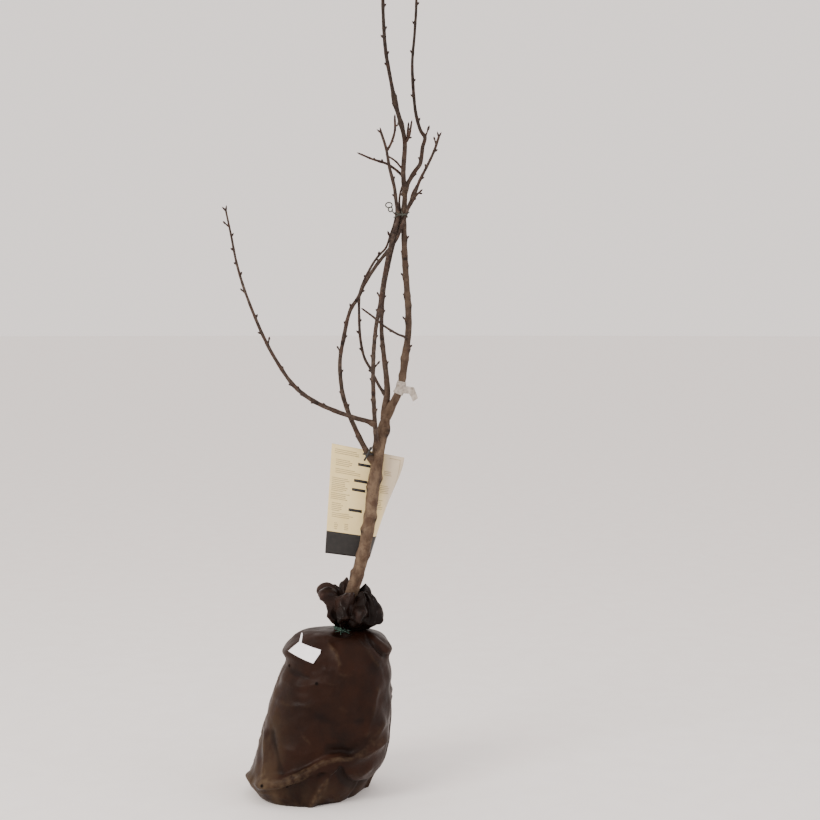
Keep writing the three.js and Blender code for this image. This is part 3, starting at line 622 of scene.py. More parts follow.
def foot_in_parent(line, parents):
    """How far along its line a bough leaves the limb that it stands on."""
    along = 0.0
    while along < DEEPEST_FOOT * MM:
        here = line.at(along / line.length)
        inside = False
        for name in parents:
            parent = LINES[name]
            gaps = [(here - p).length for p in parent.places]
            share = gaps.index(min(gaps)) / parent.parts
            inside = inside or min(gaps) < radius_at(LIMBS[name]["radii"], share)
        if not inside:
            return along
        along += MM
    return along


def bark_out(point, facing, along, radius, nodes, rings):
    """How far the bark stands out at a point, in metres, and how scarred it is, from 0 to 1."""
    grain = Vector((facing.x * 5, facing.y * 5, along / (GRAIN_LENGTH * MM)))
    out = radius * sum(share * noise.noise(point / (size * MM)) for size, share in BARK_LUMPS)
    out += 0.03 * radius * noise.noise(grain)
    scar = 0.0
    thick = min(1.0, radius / (9 * MM))
    for at, way in nodes:
        off = (along - at) / (radius * (1.3 - 0.8 * thick) + 1.5 * MM)
        if abs(off) < 3:
            side = max(0.0, facing.dot(way)) ** (1 + 3 * thick)
            out += (0.08 + 0.2 * side) * radius * math.exp(-off * off)
            drop = (1.8 + 2.4 * thick) * MM
            under = math.exp(-(((along - at + drop) / (drop * 0.8)) ** 2))
            out -= 0.35 * MM * side * under
            scar = max(scar, min(1.0, 1.6 * side * under))
    for at in rings:
        off = (along - at) / (0.8 * MM)
        if abs(off) < 3:
            out += 0.16 * MM * (math.exp(-((off - 1) ** 2)) - math.exp(-off * off))
            scar = max(scar, 0.35 * math.exp(-off * off))
    return out, scar


def ring_scars(name, line):
    """Places of the old bud-scale rings along a bough; the trunk has outgrown its own."""
    random = seeded(len(name) * 7 + 3)
    places = []
    along = 0.02
    while name != "trunk" and along < line.length:
        places.append(along)
        along += (RING_GAP + RING_GAP_MORE * next(random)) * MM
    return places


# %% One limb, from its line to its mesh
LIMB_SIDES = {"trunk": 56, "leader": 26, "side_shoot": 14, "thin_bough": 16}
LIMB_STEP = {"trunk": 2.0}
# How much thicker a bough is where it leaves its parent, as a share of its radius
FOOT_FLARE = {"leader": 0.12, "middle_bough": 0.25}


def limb_mesh(name):
    """The bark of one limb, with its girth and its scars kept at every point."""
    limb, line = LIMBS[name], LINES[name]
    step = LIMB_STEP.get(name, 2.4) * MM
    count = math.ceil(line.length / step)
    parents = limb.get("on", [])
    foot = foot_in_parent(line, parents) if parents else 0
    flare = FOOT_FLARE.get(name, 0.45) if parents else 0
    stations = []
    for k in range(count + 1):
        share = k / count
        radius = radius_at(limb["radii"], share)
        past = max(0, share * line.length - foot) / (radius * 1.6)
        radius *= 1 + flare * math.exp(-past * past)
        for height, half, extra in limb.get("swellings", []):
            radius += extra * MM * math.exp(-(((line.at(share).z / MM - height) / half) ** 2))
        stations.append((line.at(share), line.heading(share), radius))
    stations += rounded_tip(stations)
    bm = bmesh.new()
    girth = bm.verts.layers.float.new("girth")
    scarred = bm.verts.layers.float.new("scar")
    nodes = [(share * line.length, out) for share, _, _, out, _ in BUDS[name]]
    rings = ring_scars(name, line)
    swept = sweep(bm, stations, LIMB_SIDES.get(name, 20))
    for k, (ring, (point, _, radius)) in enumerate(zip(swept, stations)):
        along = min(k, count) * line.length / count
        for v in ring:
            facing = (v.co - point).normalized()
            out, scar = bark_out(v.co, facing, along, radius, nodes, rings)
            v.co += facing * out
            v[girth] = radius / MM
            v[scarred] = scar
    return bm


# %% The finish of the bark
def bark_finish():
    """Mottled bark that darkens with less girth and more height, with blotches, flecks and pits."""
    finish = Finish("young_bark", roughness=0.75, Specular_IOR_Level=0.2)
    girth = finish.attribute("girth")
    old = finish.fade(girth, 2.5, 9.0)
    young = finish.ramp(
        finish.noise(7, detail=5), (0.25, paint("1a1310")), (0.5, paint("312620")), (0.75, paint("52463d")),
    )
    trunk = finish.ramp(
        finish.noise(15, detail=7, rough=0.6, place=finish.stretched((1, 1, 0.55))),
        (0.26, paint("2b1e15")), (0.42, paint("443427")), (0.55, paint("544436")), (0.68, paint("655443")),
        (0.82, paint("7c6a55")),
    )
    colour = finish.mix(old, young, trunk)
    high = finish.fade(finish.axis("Z"), 1.06, 1.24)
    colour = finish.mix(finish.times(high, 0.65), colour, paint("140c08"))
    blotch = finish.fade(finish.noise(24, detail=4, distortion=0.8), 0.52, 0.62)
    colour = finish.mix(finish.times(blotch, 0.42), colour, paint("3a241a"))
    flecks = finish.fade(finish.noise(2.6, detail=2, place=finish.stretched((1, 1, 2.4))), 0.62, 0.7)
    colour = finish.mix(finish.times(flecks, 0.4), colour, paint("6e5a45"))
    pits = finish.fade(finish.noise(3.6, detail=3, place=finish.stretched((1, 1, 1.6))), 0.4, 0.3)
    colour = finish.mix(finish.times(pits, 0.6), colour, paint("180e08"))
    colour = finish.mix(finish.times(finish.attribute("scar"), 0.85), colour, paint("0f0704"))
    grain = finish.noise(1.4, detail=4, place=finish.stretched((1, 1, 0.22)))
    bump = finish.plus(grain, finish.times(finish.noise(5, detail=3), 0.8))
    roughness = finish.fade(finish.noise(4), 0.3, 0.7, 0.6, 0.85)
    return finish.finish(colour, bump, depth_mm=0.4, roughness=roughness)


bark = bark_finish()

# %% Make the trunk and the boughs
STANDS_FOR = {
    "left_bough": ("left_bough_foot", "left_bough_top"),
    "outer_bough": ("outer_bough_foot", "outer_bough_top"),
}
for name in LIMBS:
    nodes = STANDS_FOR.get(name, (name,))
    piece_from(limb_mesh(name), name + "_bark", bark, "bark", *nodes)


# %% [markdown]
# ## Twigs and buds
#
# The bare crown ends in fine twigs. Each mass grows from one stem, or from two at a fork, by a
# seeded rule: side shoots stand two fifths of a turn on from one to the next, and one that would
# touch a limb is left out. The rule is the one of the solids, carried on to a stalk and a bud on
# each shoot. All twigs are joined into one piece and all buds into another.

# %% Twig masses
TWIG_MASSES = {
    "left_twigs": {
        "seed": 5,
        "shoots": 3,
        "radii": [2.5, 2.3, 2.1, 1.8],
        "knob": (111, 0, 1103),
        "route": [
            (147, 10, 1061), (149, 10, 1070), (146, 10, 1080), (137, 6, 1089), (120, 2, 1100),
            (108, 0, 1104), (95, 0, 1108), (76, 0, 1116),
        ],
    },
    "inner_twig": {
        "seed": 11,
        "shoots": 0,
        "radii": [2, 1.8, 1.6],
        "route": [
            (148, -1, 1091), (143, -5, 1095), (137, -9, 1102), (130, -13, 1107), (125, -14, 1110),
        ],
    },
    "front_twig": {
        "seed": 17,
        "shoots": 2,
        "radii": [2.5, 2.2, 1.9],
        "route": [
            (120, -27, 1119), (127, -24, 1131), (134, -19, 1154), (134, -15, 1175),
        ],
    },
    "leader_twigs": {
        "seed": 23,
        "shoots": 2,
        "radii": [2.3, 2.1, 1.8],
        "route": [
            (151, -1, 1136), (155, -6, 1139), (159, -11, 1148), (162, -15, 1165),
        ],
        "fork": [(156, -7, 1140), (156, -1, 1145), (156, 4, 1153), (157, 8, 1165)],
    },
    "right_twig_low": {
        "seed": 31,
        "shoots": 2,
        "radii": [2.2, 2, 1.8],
        "route": [
            (157, -11, 1022), (163, -19, 1031), (171, -29, 1044), (177, -37, 1049),
        ],
    },
    "right_twig_high": {
        "seed": 37,
        "shoots": 1,
        "radii": [2.1, 1.9, 1.7],
        "route": [
            (161, -13, 1036), (164, -7, 1048), (169, -5, 1058),
        ],
    },
}

TWIG_SIDES = 10
# Length and relative thickness of a twig's tip bud, a limb's tip bud, and a knob
TWIG_TIP_BUD, LIMB_TIP_BUD, KNOB = (10, 0.75), (12, 0.75), (14, 1.0)


def clear_of_limbs(point, reach):
    """True where a ball of that reach touches no limb."""
    for name, line in LINES.items():
        for k in range(0, line.parts + 1, 4):
            gap = (point - line.places[k]).length
            if gap < radius_at(LIMBS[name]["radii"], k / line.parts) + reach:
                return False
    return True


# %% Growing the twigs
def grow_stem(bm, line, radii):
    """A knobbly stem along a line."""
    count = math.ceil(line.length / (2 * MM))
    stations = []
    for k in range(count + 1):
        share = k / count
        point = line.at(share)
        knobbly = 1 + 0.16 * noise.noise(point / (5 * MM)) + 0.12 * noise.noise(point / (2.2 * MM))
        stations.append((point, line.heading(share), radius_at(radii, share) * knobbly))
    sweep(bm, stations + rounded_tip(stations), TWIG_SIDES)


def grow_twigs(bm_wood, bm_buds, mass):
    """The stems of one mass with their tip buds, its knob, and its side shoots."""
    random = seeded(mass["seed"])
    stems = [MiddleLine(mass[key]) for key in ("route", "fork") if key in mass]
    for line in stems:
        grow_stem(bm_wood, line, mass["radii"])
        add_bud(bm_buds, line.at(1), line.heading(1), *TWIG_TIP_BUD)
    if "knob" in mass:
        add_bud(bm_buds, Vector(mass["knob"]) * MM, stems[0].heading(0.6), *KNOB)
    for k in range(mass["shoots"]):
        line = stems[k % len(stems)]
        share = 0.3 + 0.6 * (k + next(random)) / mass["shoots"]
        turn = k * 2 * 2 * math.pi / 5 + next(random)
        length = 5 + 3 * next(random)
        way = bud_way(line.heading(share), -1 if math.cos(turn) < 0 else 1, turn, 0.7)
        root = line.at(share)
        if clear_of_limbs(root + way * length * MM, 0.8 * MM):
            stalk = [
                (root + way * step * length * MM, way, (1.3 - 0.5 * step) * MM)
                for step in (0, 0.25, 0.5)
            ]
            sweep(bm_wood, stalk, TWIG_SIDES)
            add_bud(bm_buds, root + way * length * 0.4 * MM, way, length * 0.65)


def tip_buds(bm, name):
    """The buds at the tip of a limb: one, or a pair spread sideways."""
    line, limb = LINES[name], LIMBS[name]
    for side in limb.get("tip_splay", [0]):
        way = (line.heading(1) + Vector((side, 0, 0))).normalized()
        add_bud(bm, line.at(1), way, *LIMB_TIP_BUD)


# %% Finishes of twigs and buds
twig_bark = mottled_finish(
    "twig_bark", roughness=0.7, specular=0.25, tone=(6, 5), grain=(1.2, 3), depth_mm=0.25,
    stops=[(0.3, "1b100b"), (0.5, "2e1e16"), (0.72, "473327")], stretch=(1, 1, 0.3),
)
bud_brown = mottled_finish(
    "bud_scales", roughness=0.6, specular=0.25, tone=(2.5, 4), grain=(0.9, 2), depth_mm=0.3,
    stops=[(0.3, "130906"), (0.55, "27150f"), (0.75, "432a1c")], stretch=(1, 1, 0.6),
)

# %% Make the twigs and the buds
twig_wood = bmesh.new()
bud_scales = bmesh.new()
for mass in TWIG_MASSES.values():
    grow_twigs(twig_wood, bud_scales, mass)
for name in LIMBS:
    if name == "trunk":
        continue
    for _, root, way, out, length in BUDS[name]:
        if length > SPUR_LENGTH:
            add_spur(twig_wood, bud_scales, root, way, length)
        else:
            add_bud(bud_scales, root, way, length)
    if name != "middle_bough":
        tip_buds(bud_scales, name)
piece_from(twig_wood, "twigs", twig_bark, "twigs", *TWIG_MASSES)
piece_from(bud_scales, "buds", bud_brown, "twigs")


# %% [markdown]
# ## The sack round the root ball
#
# The sack is one sheet of thin brown film. Cloth simulation could crumple it, but its few large
# folds have to lie where they lie. So a grid is rolled round the ball, section by section, with
# the folds that give the sack its outline. It is pushed along its own normals into the creases
# that show on the front and a seeded scatter of creases on the other sides. Then its threads
# are made longer and it buckles until it has room for them, first coarse and then fine, and it
# is lightly relaxed. Each point keeps a crest value: the finish makes the crests paler with dust
# and painted highlight, and puts painted shade in the valleys.

# %% Level sections of the ball, and smooth values between them
NECK_X, NECK_Z = 46, 290.5
BALL_ROWS = np.array([
    # height, leftmost x, rightmost x, half depth
    (0, -100, 86, 92), (7, -110, 90, 97), (30, -121, 101, 101), (60, -114, 114, 103),
    (85, -106, 120, 101), (112, -99, 123, 99), (145, -91, 126, 97), (180, -80, 127, 95),
    (212, -68, 127, 91), (236, -59, 124, 86), (255, -61, 124, 80), (270, -50, 118, 70),
    (280, -39, 107, 57), (286, -24, 92, 43), (288.5, 10, 74, 26), (290, 29, 63, 17),
    (296, 31, 61, 15),
])
BALL_SQUARENESS = 2.5

# Folds that shape the outline: side in degrees, width, height, slope, reach up and down, out
BALL_FOLDS = [
    (262, 75, 58, 0.62, 20, 6.5), (282, 34, 26, -1.1, 13, 4.5), (355, 34, 256, 0, 12, 3),
    (322, 50, 0, 0, 75, -26), (190, 46, 252, 0.1, 12, 3), (95, 70, 70, -0.4, 22, 5),
    (60, 50, 190, 0.3, 26, 4), (184, 26, 32, 0.1, 15, 9),
]


def smooth_rows(rows, places):
    """Smooth values between the rows of a table, at places counted in rows."""
    count = len(rows) - 1
    k = np.clip(places.astype(int), 0, count - 1)
    s = (places - k)[:, None]
    slopes = np.gradient(rows, axis=0)
    first = rows[k] * (2 * s ** 3 - 3 * s ** 2 + 1) + slopes[k] * (s ** 3 - 2 * s ** 2 + s)
    return first + rows[k + 1] * (3 * s ** 2 - 2 * s ** 3) + slopes[k + 1] * (s ** 3 - s ** 2)


def fold_out(angle, z):
    """How far the large folds push the film out, in mm, at a side in degrees and a height."""
    out = np.zeros_like(z)
    for facing, width, height, slope, high, push in BALL_FOLDS:
        off = (angle - facing + 540) % 360 - 180
        aside = np.maximum(0, 1 - np.abs(off) / width)
        near = np.maximum(0, 1 - np.abs(z - height - slope * off) / high)
        out += push * np.sqrt(aside) * near * near * (3 - 2 * near) ** 0.5
    return out


# %% Creases that show on the front, as x and height in mm
LONG_RIDGE = [
    (-96, 33), (-62, 39), (-39, 50), (-9, 65), (6, 75), (22, 81), (64, 86), (83, 89), (116, 104),
]
# Each has its points, how far it stands out, and how wide it is above and below its line
FRONT_CREASES = [
    (LONG_RIDGE, 9, 12, 3.5),
    ([(-60, 58), (-30, 66), (-2, 84), (24, 97), (58, 96), (84, 108)], -4, 12, 5),
    ([(-13, 0), (-2, 20), (13, 44), (27, 64), (37, 70)], 6, 3.5, 9),
    ([(42, 70), (46, 55), (54, 42), (66, 33), (84, 29)], -9, 5, 9),
    ([(10, 58), (26, 56), (38, 64)], -4, 6, 6),
    ([(27, 98), (44, 99), (56, 93)], -6, 8, 7),
    ([(84, 108), (102, 118), (114, 134)], 3, 5, 4),
    ([(-92, 118), (-90, 80), (-88, 40)], 3, 3, 4),
    ([(-78, 122), (-60, 60)], -2.5, 7, 5),
    ([(-34, 143), (-22, 125), (-7, 110)], 2, 4, 5),
    ([(82, 288), (103, 270), (120, 249)], -10, 2.5, 5),
    ([(88, 289), (109, 273), (125, 256)], 4, 3, 3),
    ([(66, 283), (88, 262), (104, 240)], 3, 3, 7),
    ([(20, 276), (34, 262), (40, 244)], 2.5, 3, 6),
    ([(-61, 233), (-38, 226), (-14, 222)], -3.5, 6, 8),
    ([(-66, 214), (-30, 206), (16, 214), (40, 210)], 1.8, 5, 7),
    ([(16, 236), (48, 226), (92, 232)], 1.6, 6, 8),
    ([(-74, 182), (-42, 172), (10, 178), (52, 168)], 1.4, 6, 9),
    ([(0, 160), (34, 142), (80, 148)], -1.6, 8, 8),
    ([(104, 200), (96, 158), (84, 120)], 2.2, 5, 6),
    ([(30, 128), (62, 118), (104, 132)], 1.8, 5, 8),
    ([(-58, 100), (-20, 92), (8, 104)], 1.6, 6, 7),
    ([(-104, 20), (-70, 22), (-40, 14)], 2.4, 5, 5),
    ([(-40, 34), (-28, 18), (-30, 2)], 2.2, 4, 4),
    ([(58, 60), (74, 52), (92, 62)], 3, 4, 5),
]


def off_line(across, up, points):
    """Distance from a line of straight pieces, and whether a place lies above it."""
    best = np.full_like(across, 1e9)
    above = np.zeros(len(across), bool)
    for (ax, ay), (bx, by) in zip(points, points[1:]):
        dx, dy = bx - ax, by - ay
        share = np.clip(((across - ax) * dx + (up - ay) * dy) / (dx * dx + dy * dy), 0, 1)
        gap = np.hypot(across - ax - share * dx, up - ay - share * dy)
        left_of = (dx * (up - ay) - dy * (across - ax)) > 0
        nearer = gap < best
        best = np.where(nearer, gap, best)
        above = np.where(nearer, left_of, above)
    return best, above


def crease_out(across, up, crease):
    """How far one crease pushes the film out, in mm, less and less away from its line."""
    points, out, wide_above, wide_below = crease
    gap, above = off_line(across, up, points)
    return out * np.exp(-gap / np.where(above, wide_above, wide_below))


# %% Creases by a seeded rule
def scattered_creases(seed, count, sides, heights, scale):
    """Creases in arc length round the film and height, both in mm; scale sizes them."""
    random = seeded(seed)
    creases = []
    for _ in range(count):
        across = sides[0] + (sides[1] - sides[0]) * next(random)
        start = (across, heights[0] + (heights[1] - heights[0]) * next(random))
        way = (next(random) - 0.5) * 2.2
        length = (45 + 90 * next(random)) * scale
        bend = (next(random) - 0.5) * 0.8
        half = (start[0] + length / 2 * math.cos(way), start[1] + length / 2 * math.sin(way))
        end = (half[0] + length / 2 * math.cos(way + bend), half[1] + length / 2 * math.sin(way + bend))
        push = (2.5 + 4 * next(random)) * scale * (1 if next(random) < 0.65 else -1)
        widths = (4 + 6 * next(random)) * scale, (4 + 8 * next(random)) * scale
        creases.append(([start, half, end], push, *widths))
    return creases


# %% Film a little too large for what it wraps
# A sheet is a table of points: its rows go up, its columns go round, and the last joins the first
# Share of a thread's misfit that one round takes away, and the longest move of a point in mm
THREAD_PULL = 0.16
LONGEST_MOVE = 0.8


def partner(points, down, across):
    """The points of a sheet, and the ones some rows up and some columns on from them."""
    return points[:len(points) - down], np.roll(points, -across, axis=1)[down:]


def threads(bend):
    """The threads of the sheet, as rows, columns and stiffness; the long ones resist bending."""
    return [
        (0, 1, 1.0), (1, 0, 1.0), (1, 1, 0.6), (1, -1, 0.6), (0, 2, 0.15), (2, 0, 0.15),
        (0, bend, 0.2), (bend, 0, 0.2),
    ]


def sheet_normals(points):
    """The way out at every point of a sheet."""
    across = np.roll(points, -1, axis=1) - np.roll(points, 1, axis=1)
    normals = np.cross(across, np.gradient(points, axis=0))
    return normals / np.maximum(1e-9, np.linalg.norm(normals, axis=2, keepdims=True))


def buckle(points, growth, rounds, bend, hold, inward):
    """Makes the sheet's threads longer, and lets it crumple until it has room for them.

    Each round, hold draws it back a little to where it was, and it goes inward mm in at most.
    """
    home, out_way = points, sheet_normals(points)
    lines = threads(bend)
    rests = [
        np.linalg.norm(np.subtract(*partner(points, down, on)), axis=2) * growth
        for down, on, _ in lines
    ]
    for _ in range(rounds):
        moves = np.zeros_like(points)
        for (down, on, stiff), rest in zip(lines, rests):
            here, there = partner(points, down, on)
            gap = there - here
            length = np.maximum(1e-6, np.linalg.norm(gap, axis=2))
            pull = gap * (THREAD_PULL * stiff * (1 - rest / length))[..., None]
            moves[:len(pull)] += pull
            moves[down:] -= np.roll(pull, on, axis=1)
        steps = np.maximum(1e-9, np.linalg.norm(moves, axis=2, keepdims=True))
        moves *= np.minimum(1, LONGEST_MOVE / steps)
        off = points + moves - home
        points = home + off * (1 - hold)
        depth = np.sum((points - home) * out_way, axis=2)
        points = points - out_way * np.minimum(0, depth + inward)[..., None]
    return points


def relaxed(points, rounds):
    """Each point moved half way to the middle of its neighbours, but for the first and last rows."""
    for _ in range(rounds):
        middle = points.copy()
        sides = np.roll(points, 1, axis=1) + np.roll(points, -1, axis=1)
        middle[1:-1] = (points[:-2] + points[2:] + sides[1:-1]) / 4
        points = (points + middle) / 2
    return points


def finer(points, rows, columns):
    """The same sheet with more rows and columns, each cell cut evenly."""
    up = np.linspace(0, len(points) - 1, rows)
    on = np.arange(columns) * points.shape[1] / columns
    low, left = np.minimum(up.astype(int), len(points) - 2), on.astype(int)
    t, s = (up - low)[:, None, None], (on - left)[None, :, None]
    right = (left + 1) % points.shape[1]
    below = points[low][:, left] * (1 - s) + points[low][:, right] * s
    above = points[low + 1][:, left] * (1 - s) + points[low + 1][:, right] * s
    return below * (1 - t) + above * t


def film_mesh(points, smooth):
    """A tube of film from a sheet of points, with how far each point stands off its smooth form."""
    rows, columns, _ = points.shape
    bm = bmesh.new()
    crest = bm.verts.layers.float.new("crest")
    bmesh.ops.create_grid(bm, x_segments=columns, y_segments=rows - 1, size=0.5)
    stands_off = np.sum((points - smooth) * sheet_normals(smooth), axis=2)
    for v in bm.verts:
        row, column = round((v.co.y + 0.5) * (rows - 1)), round((v.co.x + 0.5) * columns) % columns
        v.co = Vector(points[row, column]) * MM
        v[crest] = min(1, max(0, 0.5 + stands_off[row, column] / 8))
    bmesh.ops.remove_doubles(bm, verts=bm.verts, dist=0.00002)
    return bm


# %% The sack's sheet
COARSE, FINE = (45, 96), (151, 320)
SACK_SEED = 41
# The hollow before the knot: its middle, and the height where it begins
HOLLOW_X, HOLLOW_FOOT = 44, 262
# Film below this height lies on the floor, and none rises above the top
FLOOR_FILM = 1.2
SACK_TOP = 296


def even_rows(rows):
    """Places in a table of sections so that the rows of the sheet lie evenly up the film."""
    fine = np.linspace(0, len(rows) - 1, 1500)
    steps = np.abs(np.diff(smooth_rows(rows, fine), axis=0))
    lengths = np.concatenate([[0], np.cumsum(steps[:, 0] + steps[:, 3] * 0.8)])
    return lambda share: np.interp(share * lengths[-1], lengths, fine)


def smooth_sack(rows, columns):
    """The sack's form with its large folds."""
    sections = smooth_rows(BALL_ROWS, even_rows(BALL_ROWS)(np.linspace(0, 1, rows)))
    z, left, right, depth = [np.repeat(part[:, None], columns, axis=1) for part in sections.T]
    angle = np.tile(np.arange(columns) * 360 / columns, (rows, 1))
    c, s = np.cos(np.radians(angle)), np.sin(np.radians(angle))
    power = BALL_SQUARENESS - 0.5 * np.clip((z - 270) / 20, 0, 1)
    reach = (np.abs(c) ** power + np.abs(s) ** power) ** (-1 / power)
    out = fold_out(angle, z) * np.clip((292 - z) / 14, 0, 1)
    x = (left + right) / 2 + c * (reach * (right - left) / 2 + out)
    return np.stack([x, s * (reach * depth + out), z], axis=2)


def hollow(points, depth, y, wide, deep, rise):
    """How far in the film lies, in mm, in the hollow before the knot at the neck."""
    x, away, up = points[..., 0] - HOLLOW_X, points[..., 1] - y, points[..., 2] - HOLLOW_FOOT
    return depth * np.exp(-(x / wide) ** 2 - (away / deep) ** 2) * np.clip(up / rise, 0, 1)


def creased(points):
    """The sheet pushed out and in along its creases."""
    normals = sheet_normals(points)
    x, y, z = [part.ravel() for part in np.moveaxis(points, 2, 0)]
    front = np.clip(-normals[..., 1].ravel() * 1.8, 0, 1)
    angle = np.degrees(np.arctan2(y, x - 15))
    arc = np.where(angle < -135, angle + 360, angle) * 1.9
    amounts = front * sum(crease_out(x, z, crease) for crease in FRONT_CREASES)
    behind = np.clip(normals[..., 1].ravel() * 1.5 + 0.35, 0, 1)
    scatter = scattered_creases(SACK_SEED, 34, sides=(-85, 428), heights=(15, 265), scale=1)
    amounts += behind * sum(crease_out(arc, z, crease) for crease in scatter)
    amounts += 1.5 * np.array([noise.noise(Vector(p) / 30) for p in zip(x, y, z)])
    amounts -= hollow(points, depth=7, y=-28, wide=22, deep=16, rise=20).ravel()
    amounts *= np.clip((293 - z) / 6, 0, 1) * np.clip(0.35 + z / 14, 0, 1)
    return points + normals * amounts.reshape(points.shape[:2] + (1,))


def sack_mesh():
    """The buckled sheet, smooth again at the neck, flat on the floor and closed below."""
    smooth = smooth_sack(*FINE)
    rough = creased(smooth_sack(*COARSE))
    large = buckle(rough, growth=1.022, rounds=160, bend=3, hold=0.012, inward=1.5)
    fine = creased(smooth) + finer(large - rough, *FINE)
    sheet = relaxed(buckle(fine, growth=1.008, rounds=60, bend=2, hold=0.02, inward=0.8), 2)
    settled = np.clip((sheet[..., 2:] - 281) / 8, 0, 1)
    sheet = sheet * (1 - settled) + smooth * settled
    knot_hollow = hollow(sheet, depth=8, y=-34, wide=12, deep=10, rise=16)
    sheet = sheet - sheet_normals(sheet) * knot_hollow[..., None]
    z = sheet[..., 2]
    sheet[..., 2] = np.where(z < FLOOR_FILM, 0, np.minimum(z, SACK_TOP))
    bm = film_mesh(sheet, smooth)
    rims = [edge for edge in bm.edges if edge.is_boundary]
    bmesh.ops.holes_fill(bm, edges=rims, sides=0)
    return bm


# %% The finish of the film
def film_finish(name, dark, warm, dust_and_light, roughness, lit_dust_x, lit_dust_z):
    """Brown film, paler with dust and painted light on its lit side and crests, with painted shade in its
    valleys; in metres, each pair of limits says where that pale tone begins and where it is full.
    """
    finish = Finish(name, roughness, Specular_IOR_Level=0.1)
    broad = finish.noise(60, detail=4)
    colour = finish.ramp(broad, (0.32, paint(dark)), (0.68, paint(warm)))
    smear = finish.noise(26, detail=5, rough=0.5, place=finish.stretched((1, 1, 0.6)))
    # Dust and painted light: the film turns paler towards the side that faces the main lamp, between the x
    # and height limits given.
    dusty_lit_side = finish.times(
        finish.fade(finish.axis("X"), *lit_dust_x), finish.fade(finish.axis("Z"), *lit_dust_z),
    )
    low = finish.fade(finish.axis("Z"), 0.06, 0.02)
    crest = finish.fade(finish.attribute("crest"), 0.74, 1.05)
    scuffs = finish.fade(finish.noise(10, detail=5, rough=0.6), 0.3, 0.72)
    share = finish.plus(finish.times(dusty_lit_side, 0.5), finish.times(low, 0.25))
    share = finish.times(share, finish.fade(smear, 0.3, 0.7))
    # Wear and painted highlight: scuffs on the crests, stronger towards the left, where the main lamp
    # falls.
    worn_and_lit = finish.times(scuffs, finish.fade(finish.axis("X"), 0.09, 0.02, 0.3, 0.6))
    share = finish.plus(share, finish.times(crest, worn_and_lit))
    colour = finish.mix(share, colour, paint(dust_and_light))
    # Painted shade: the film is darkened towards near-black 080302 in its valleys, where the crest value is
    # low.
    valley_shade = finish.fade(finish.attribute("crest"), 0.42, 0.05)
    colour = finish.mix(finish.times(valley_shade, 0.6), colour, paint("080302"))
    bump = finish.plus(finish.noise(2.4, detail=4), finish.times(finish.noise(7, detail=3), 1.6))
    sheen = finish.fade(smear, 0.35, 0.7, roughness - 0.08, roughness + 0.16)
    return finish.finish(colour, bump, depth_mm=0.25, roughness=sheen)


# The pale 483a2b on the left side of the sack, which faces the main lamp, is dust and painted light.
sack_film = film_finish(
    "sack_film", "150905", "261208", "483a2b", 0.46, lit_dust_x=(-0.03, -0.1), lit_dust_z=(-0.02, -0.01),
)

# %% Make the sack
sack = sack_mesh()
sack_surface = BVHTree.FromBMesh(sack)
piece_from(sack, "root_ball_film", sack_film, "bag_film", "root_ball")

# %% [markdown]
# ## The gathered film above the twine
#
# Above the twine the mouth of the sack stands up as a loose cup with the trunk through it. It is
# the same film, so it is again a rolled sheet: for each side, a profile from the neck out to the
# widest place, in to the rim and a little way down inside. Folds run up it and lean over more
# the higher they are, the rim rises and falls with them, and short creases cross them. Then the
# sheet buckles as the sack did. Last it gets its thickness.

# %% The cup, side by side
# For each side in degrees (0 right, 90 back): how far out and how high, from the neck to the inside
COLLAR_SIDES = {
    0: [(15, 289), (38, 289), (58, 306), (46, 330), (33, 347), (26, 353), (19, 345), (14, 330)],
    40: [(15, 289), (39, 291), (56, 307), (46, 332), (34, 350), (24, 360), (18, 350), (14, 330)],
    80: [(15, 289), (36, 295), (53, 312), (48, 335), (34, 354), (22, 363), (17, 352), (14, 330)],
    115: [(15, 290), (28, 299), (42, 317), (44, 340), (33, 360), (24, 369), (17, 356), (14, 332)],
    150: [(15, 290), (21, 302), (30, 319), (44, 341), (45, 356), (36, 361), (22, 350), (14, 332)],
    180: [(16, 290), (20, 304), (26, 319), (43, 341), (62, 353), (52, 366), (33, 361), (15, 334)],
    203: [(16, 290), (21, 303), (28, 319), (44, 340), (56, 352), (43, 360), (26, 350), (14, 330)],
    235: [(15, 290), (23, 299), (37, 315), (47, 335), (42, 351), (30, 357), (19, 347), (13, 328)],
    262: [(15, 289), (32, 299), (47, 314), (48, 332), (37, 349), (24, 354), (15, 344), (12, 322)],
    285: [(15, 289), (34, 298), (51, 312), (52, 330), (41, 347), (26, 353), (15, 342), (12, 322)],
    315: [(15, 289), (37, 294), (55, 309), (51, 328), (39, 344), (25, 351), (16, 340), (12, 322)],
}
# Sharp folds that run up the cup: side in degrees and how far out, ridge and valley in turn
COLLAR_FOLDS = [
    (6, 3), (20, -5), (52, 5), (61, -6), (77, 3), (104, -4), (112, 6), (140, -5), (150, 2), (170, -3),
    (184, 4), (201, -5), (228, 6), (240, -7), (258, 3), (268, -9), (282, 5), (306, -4), (314, 6),
    (322, -6), (345, 4), (354, -3),
]
# How much the rim rises where a fold stands out, and how much the cup leans aside as it rises
RIM_RISE = 1.1
CUP_LEAN = 0.19
COLLAR_SEED = 67
# Once round the cup along its film, in mm, where the creases are laid out
COLLAR_ROUND = 306
COLLAR_COARSE, COLLAR_FINE = (25, 66), (81, 240)
# Share of the rows held by the twine, the lowest height of the cup, and its thickness
TIED_SHARE = 0.06
CUP_FLOOR = 288
FILM_THICKNESS = 0.5


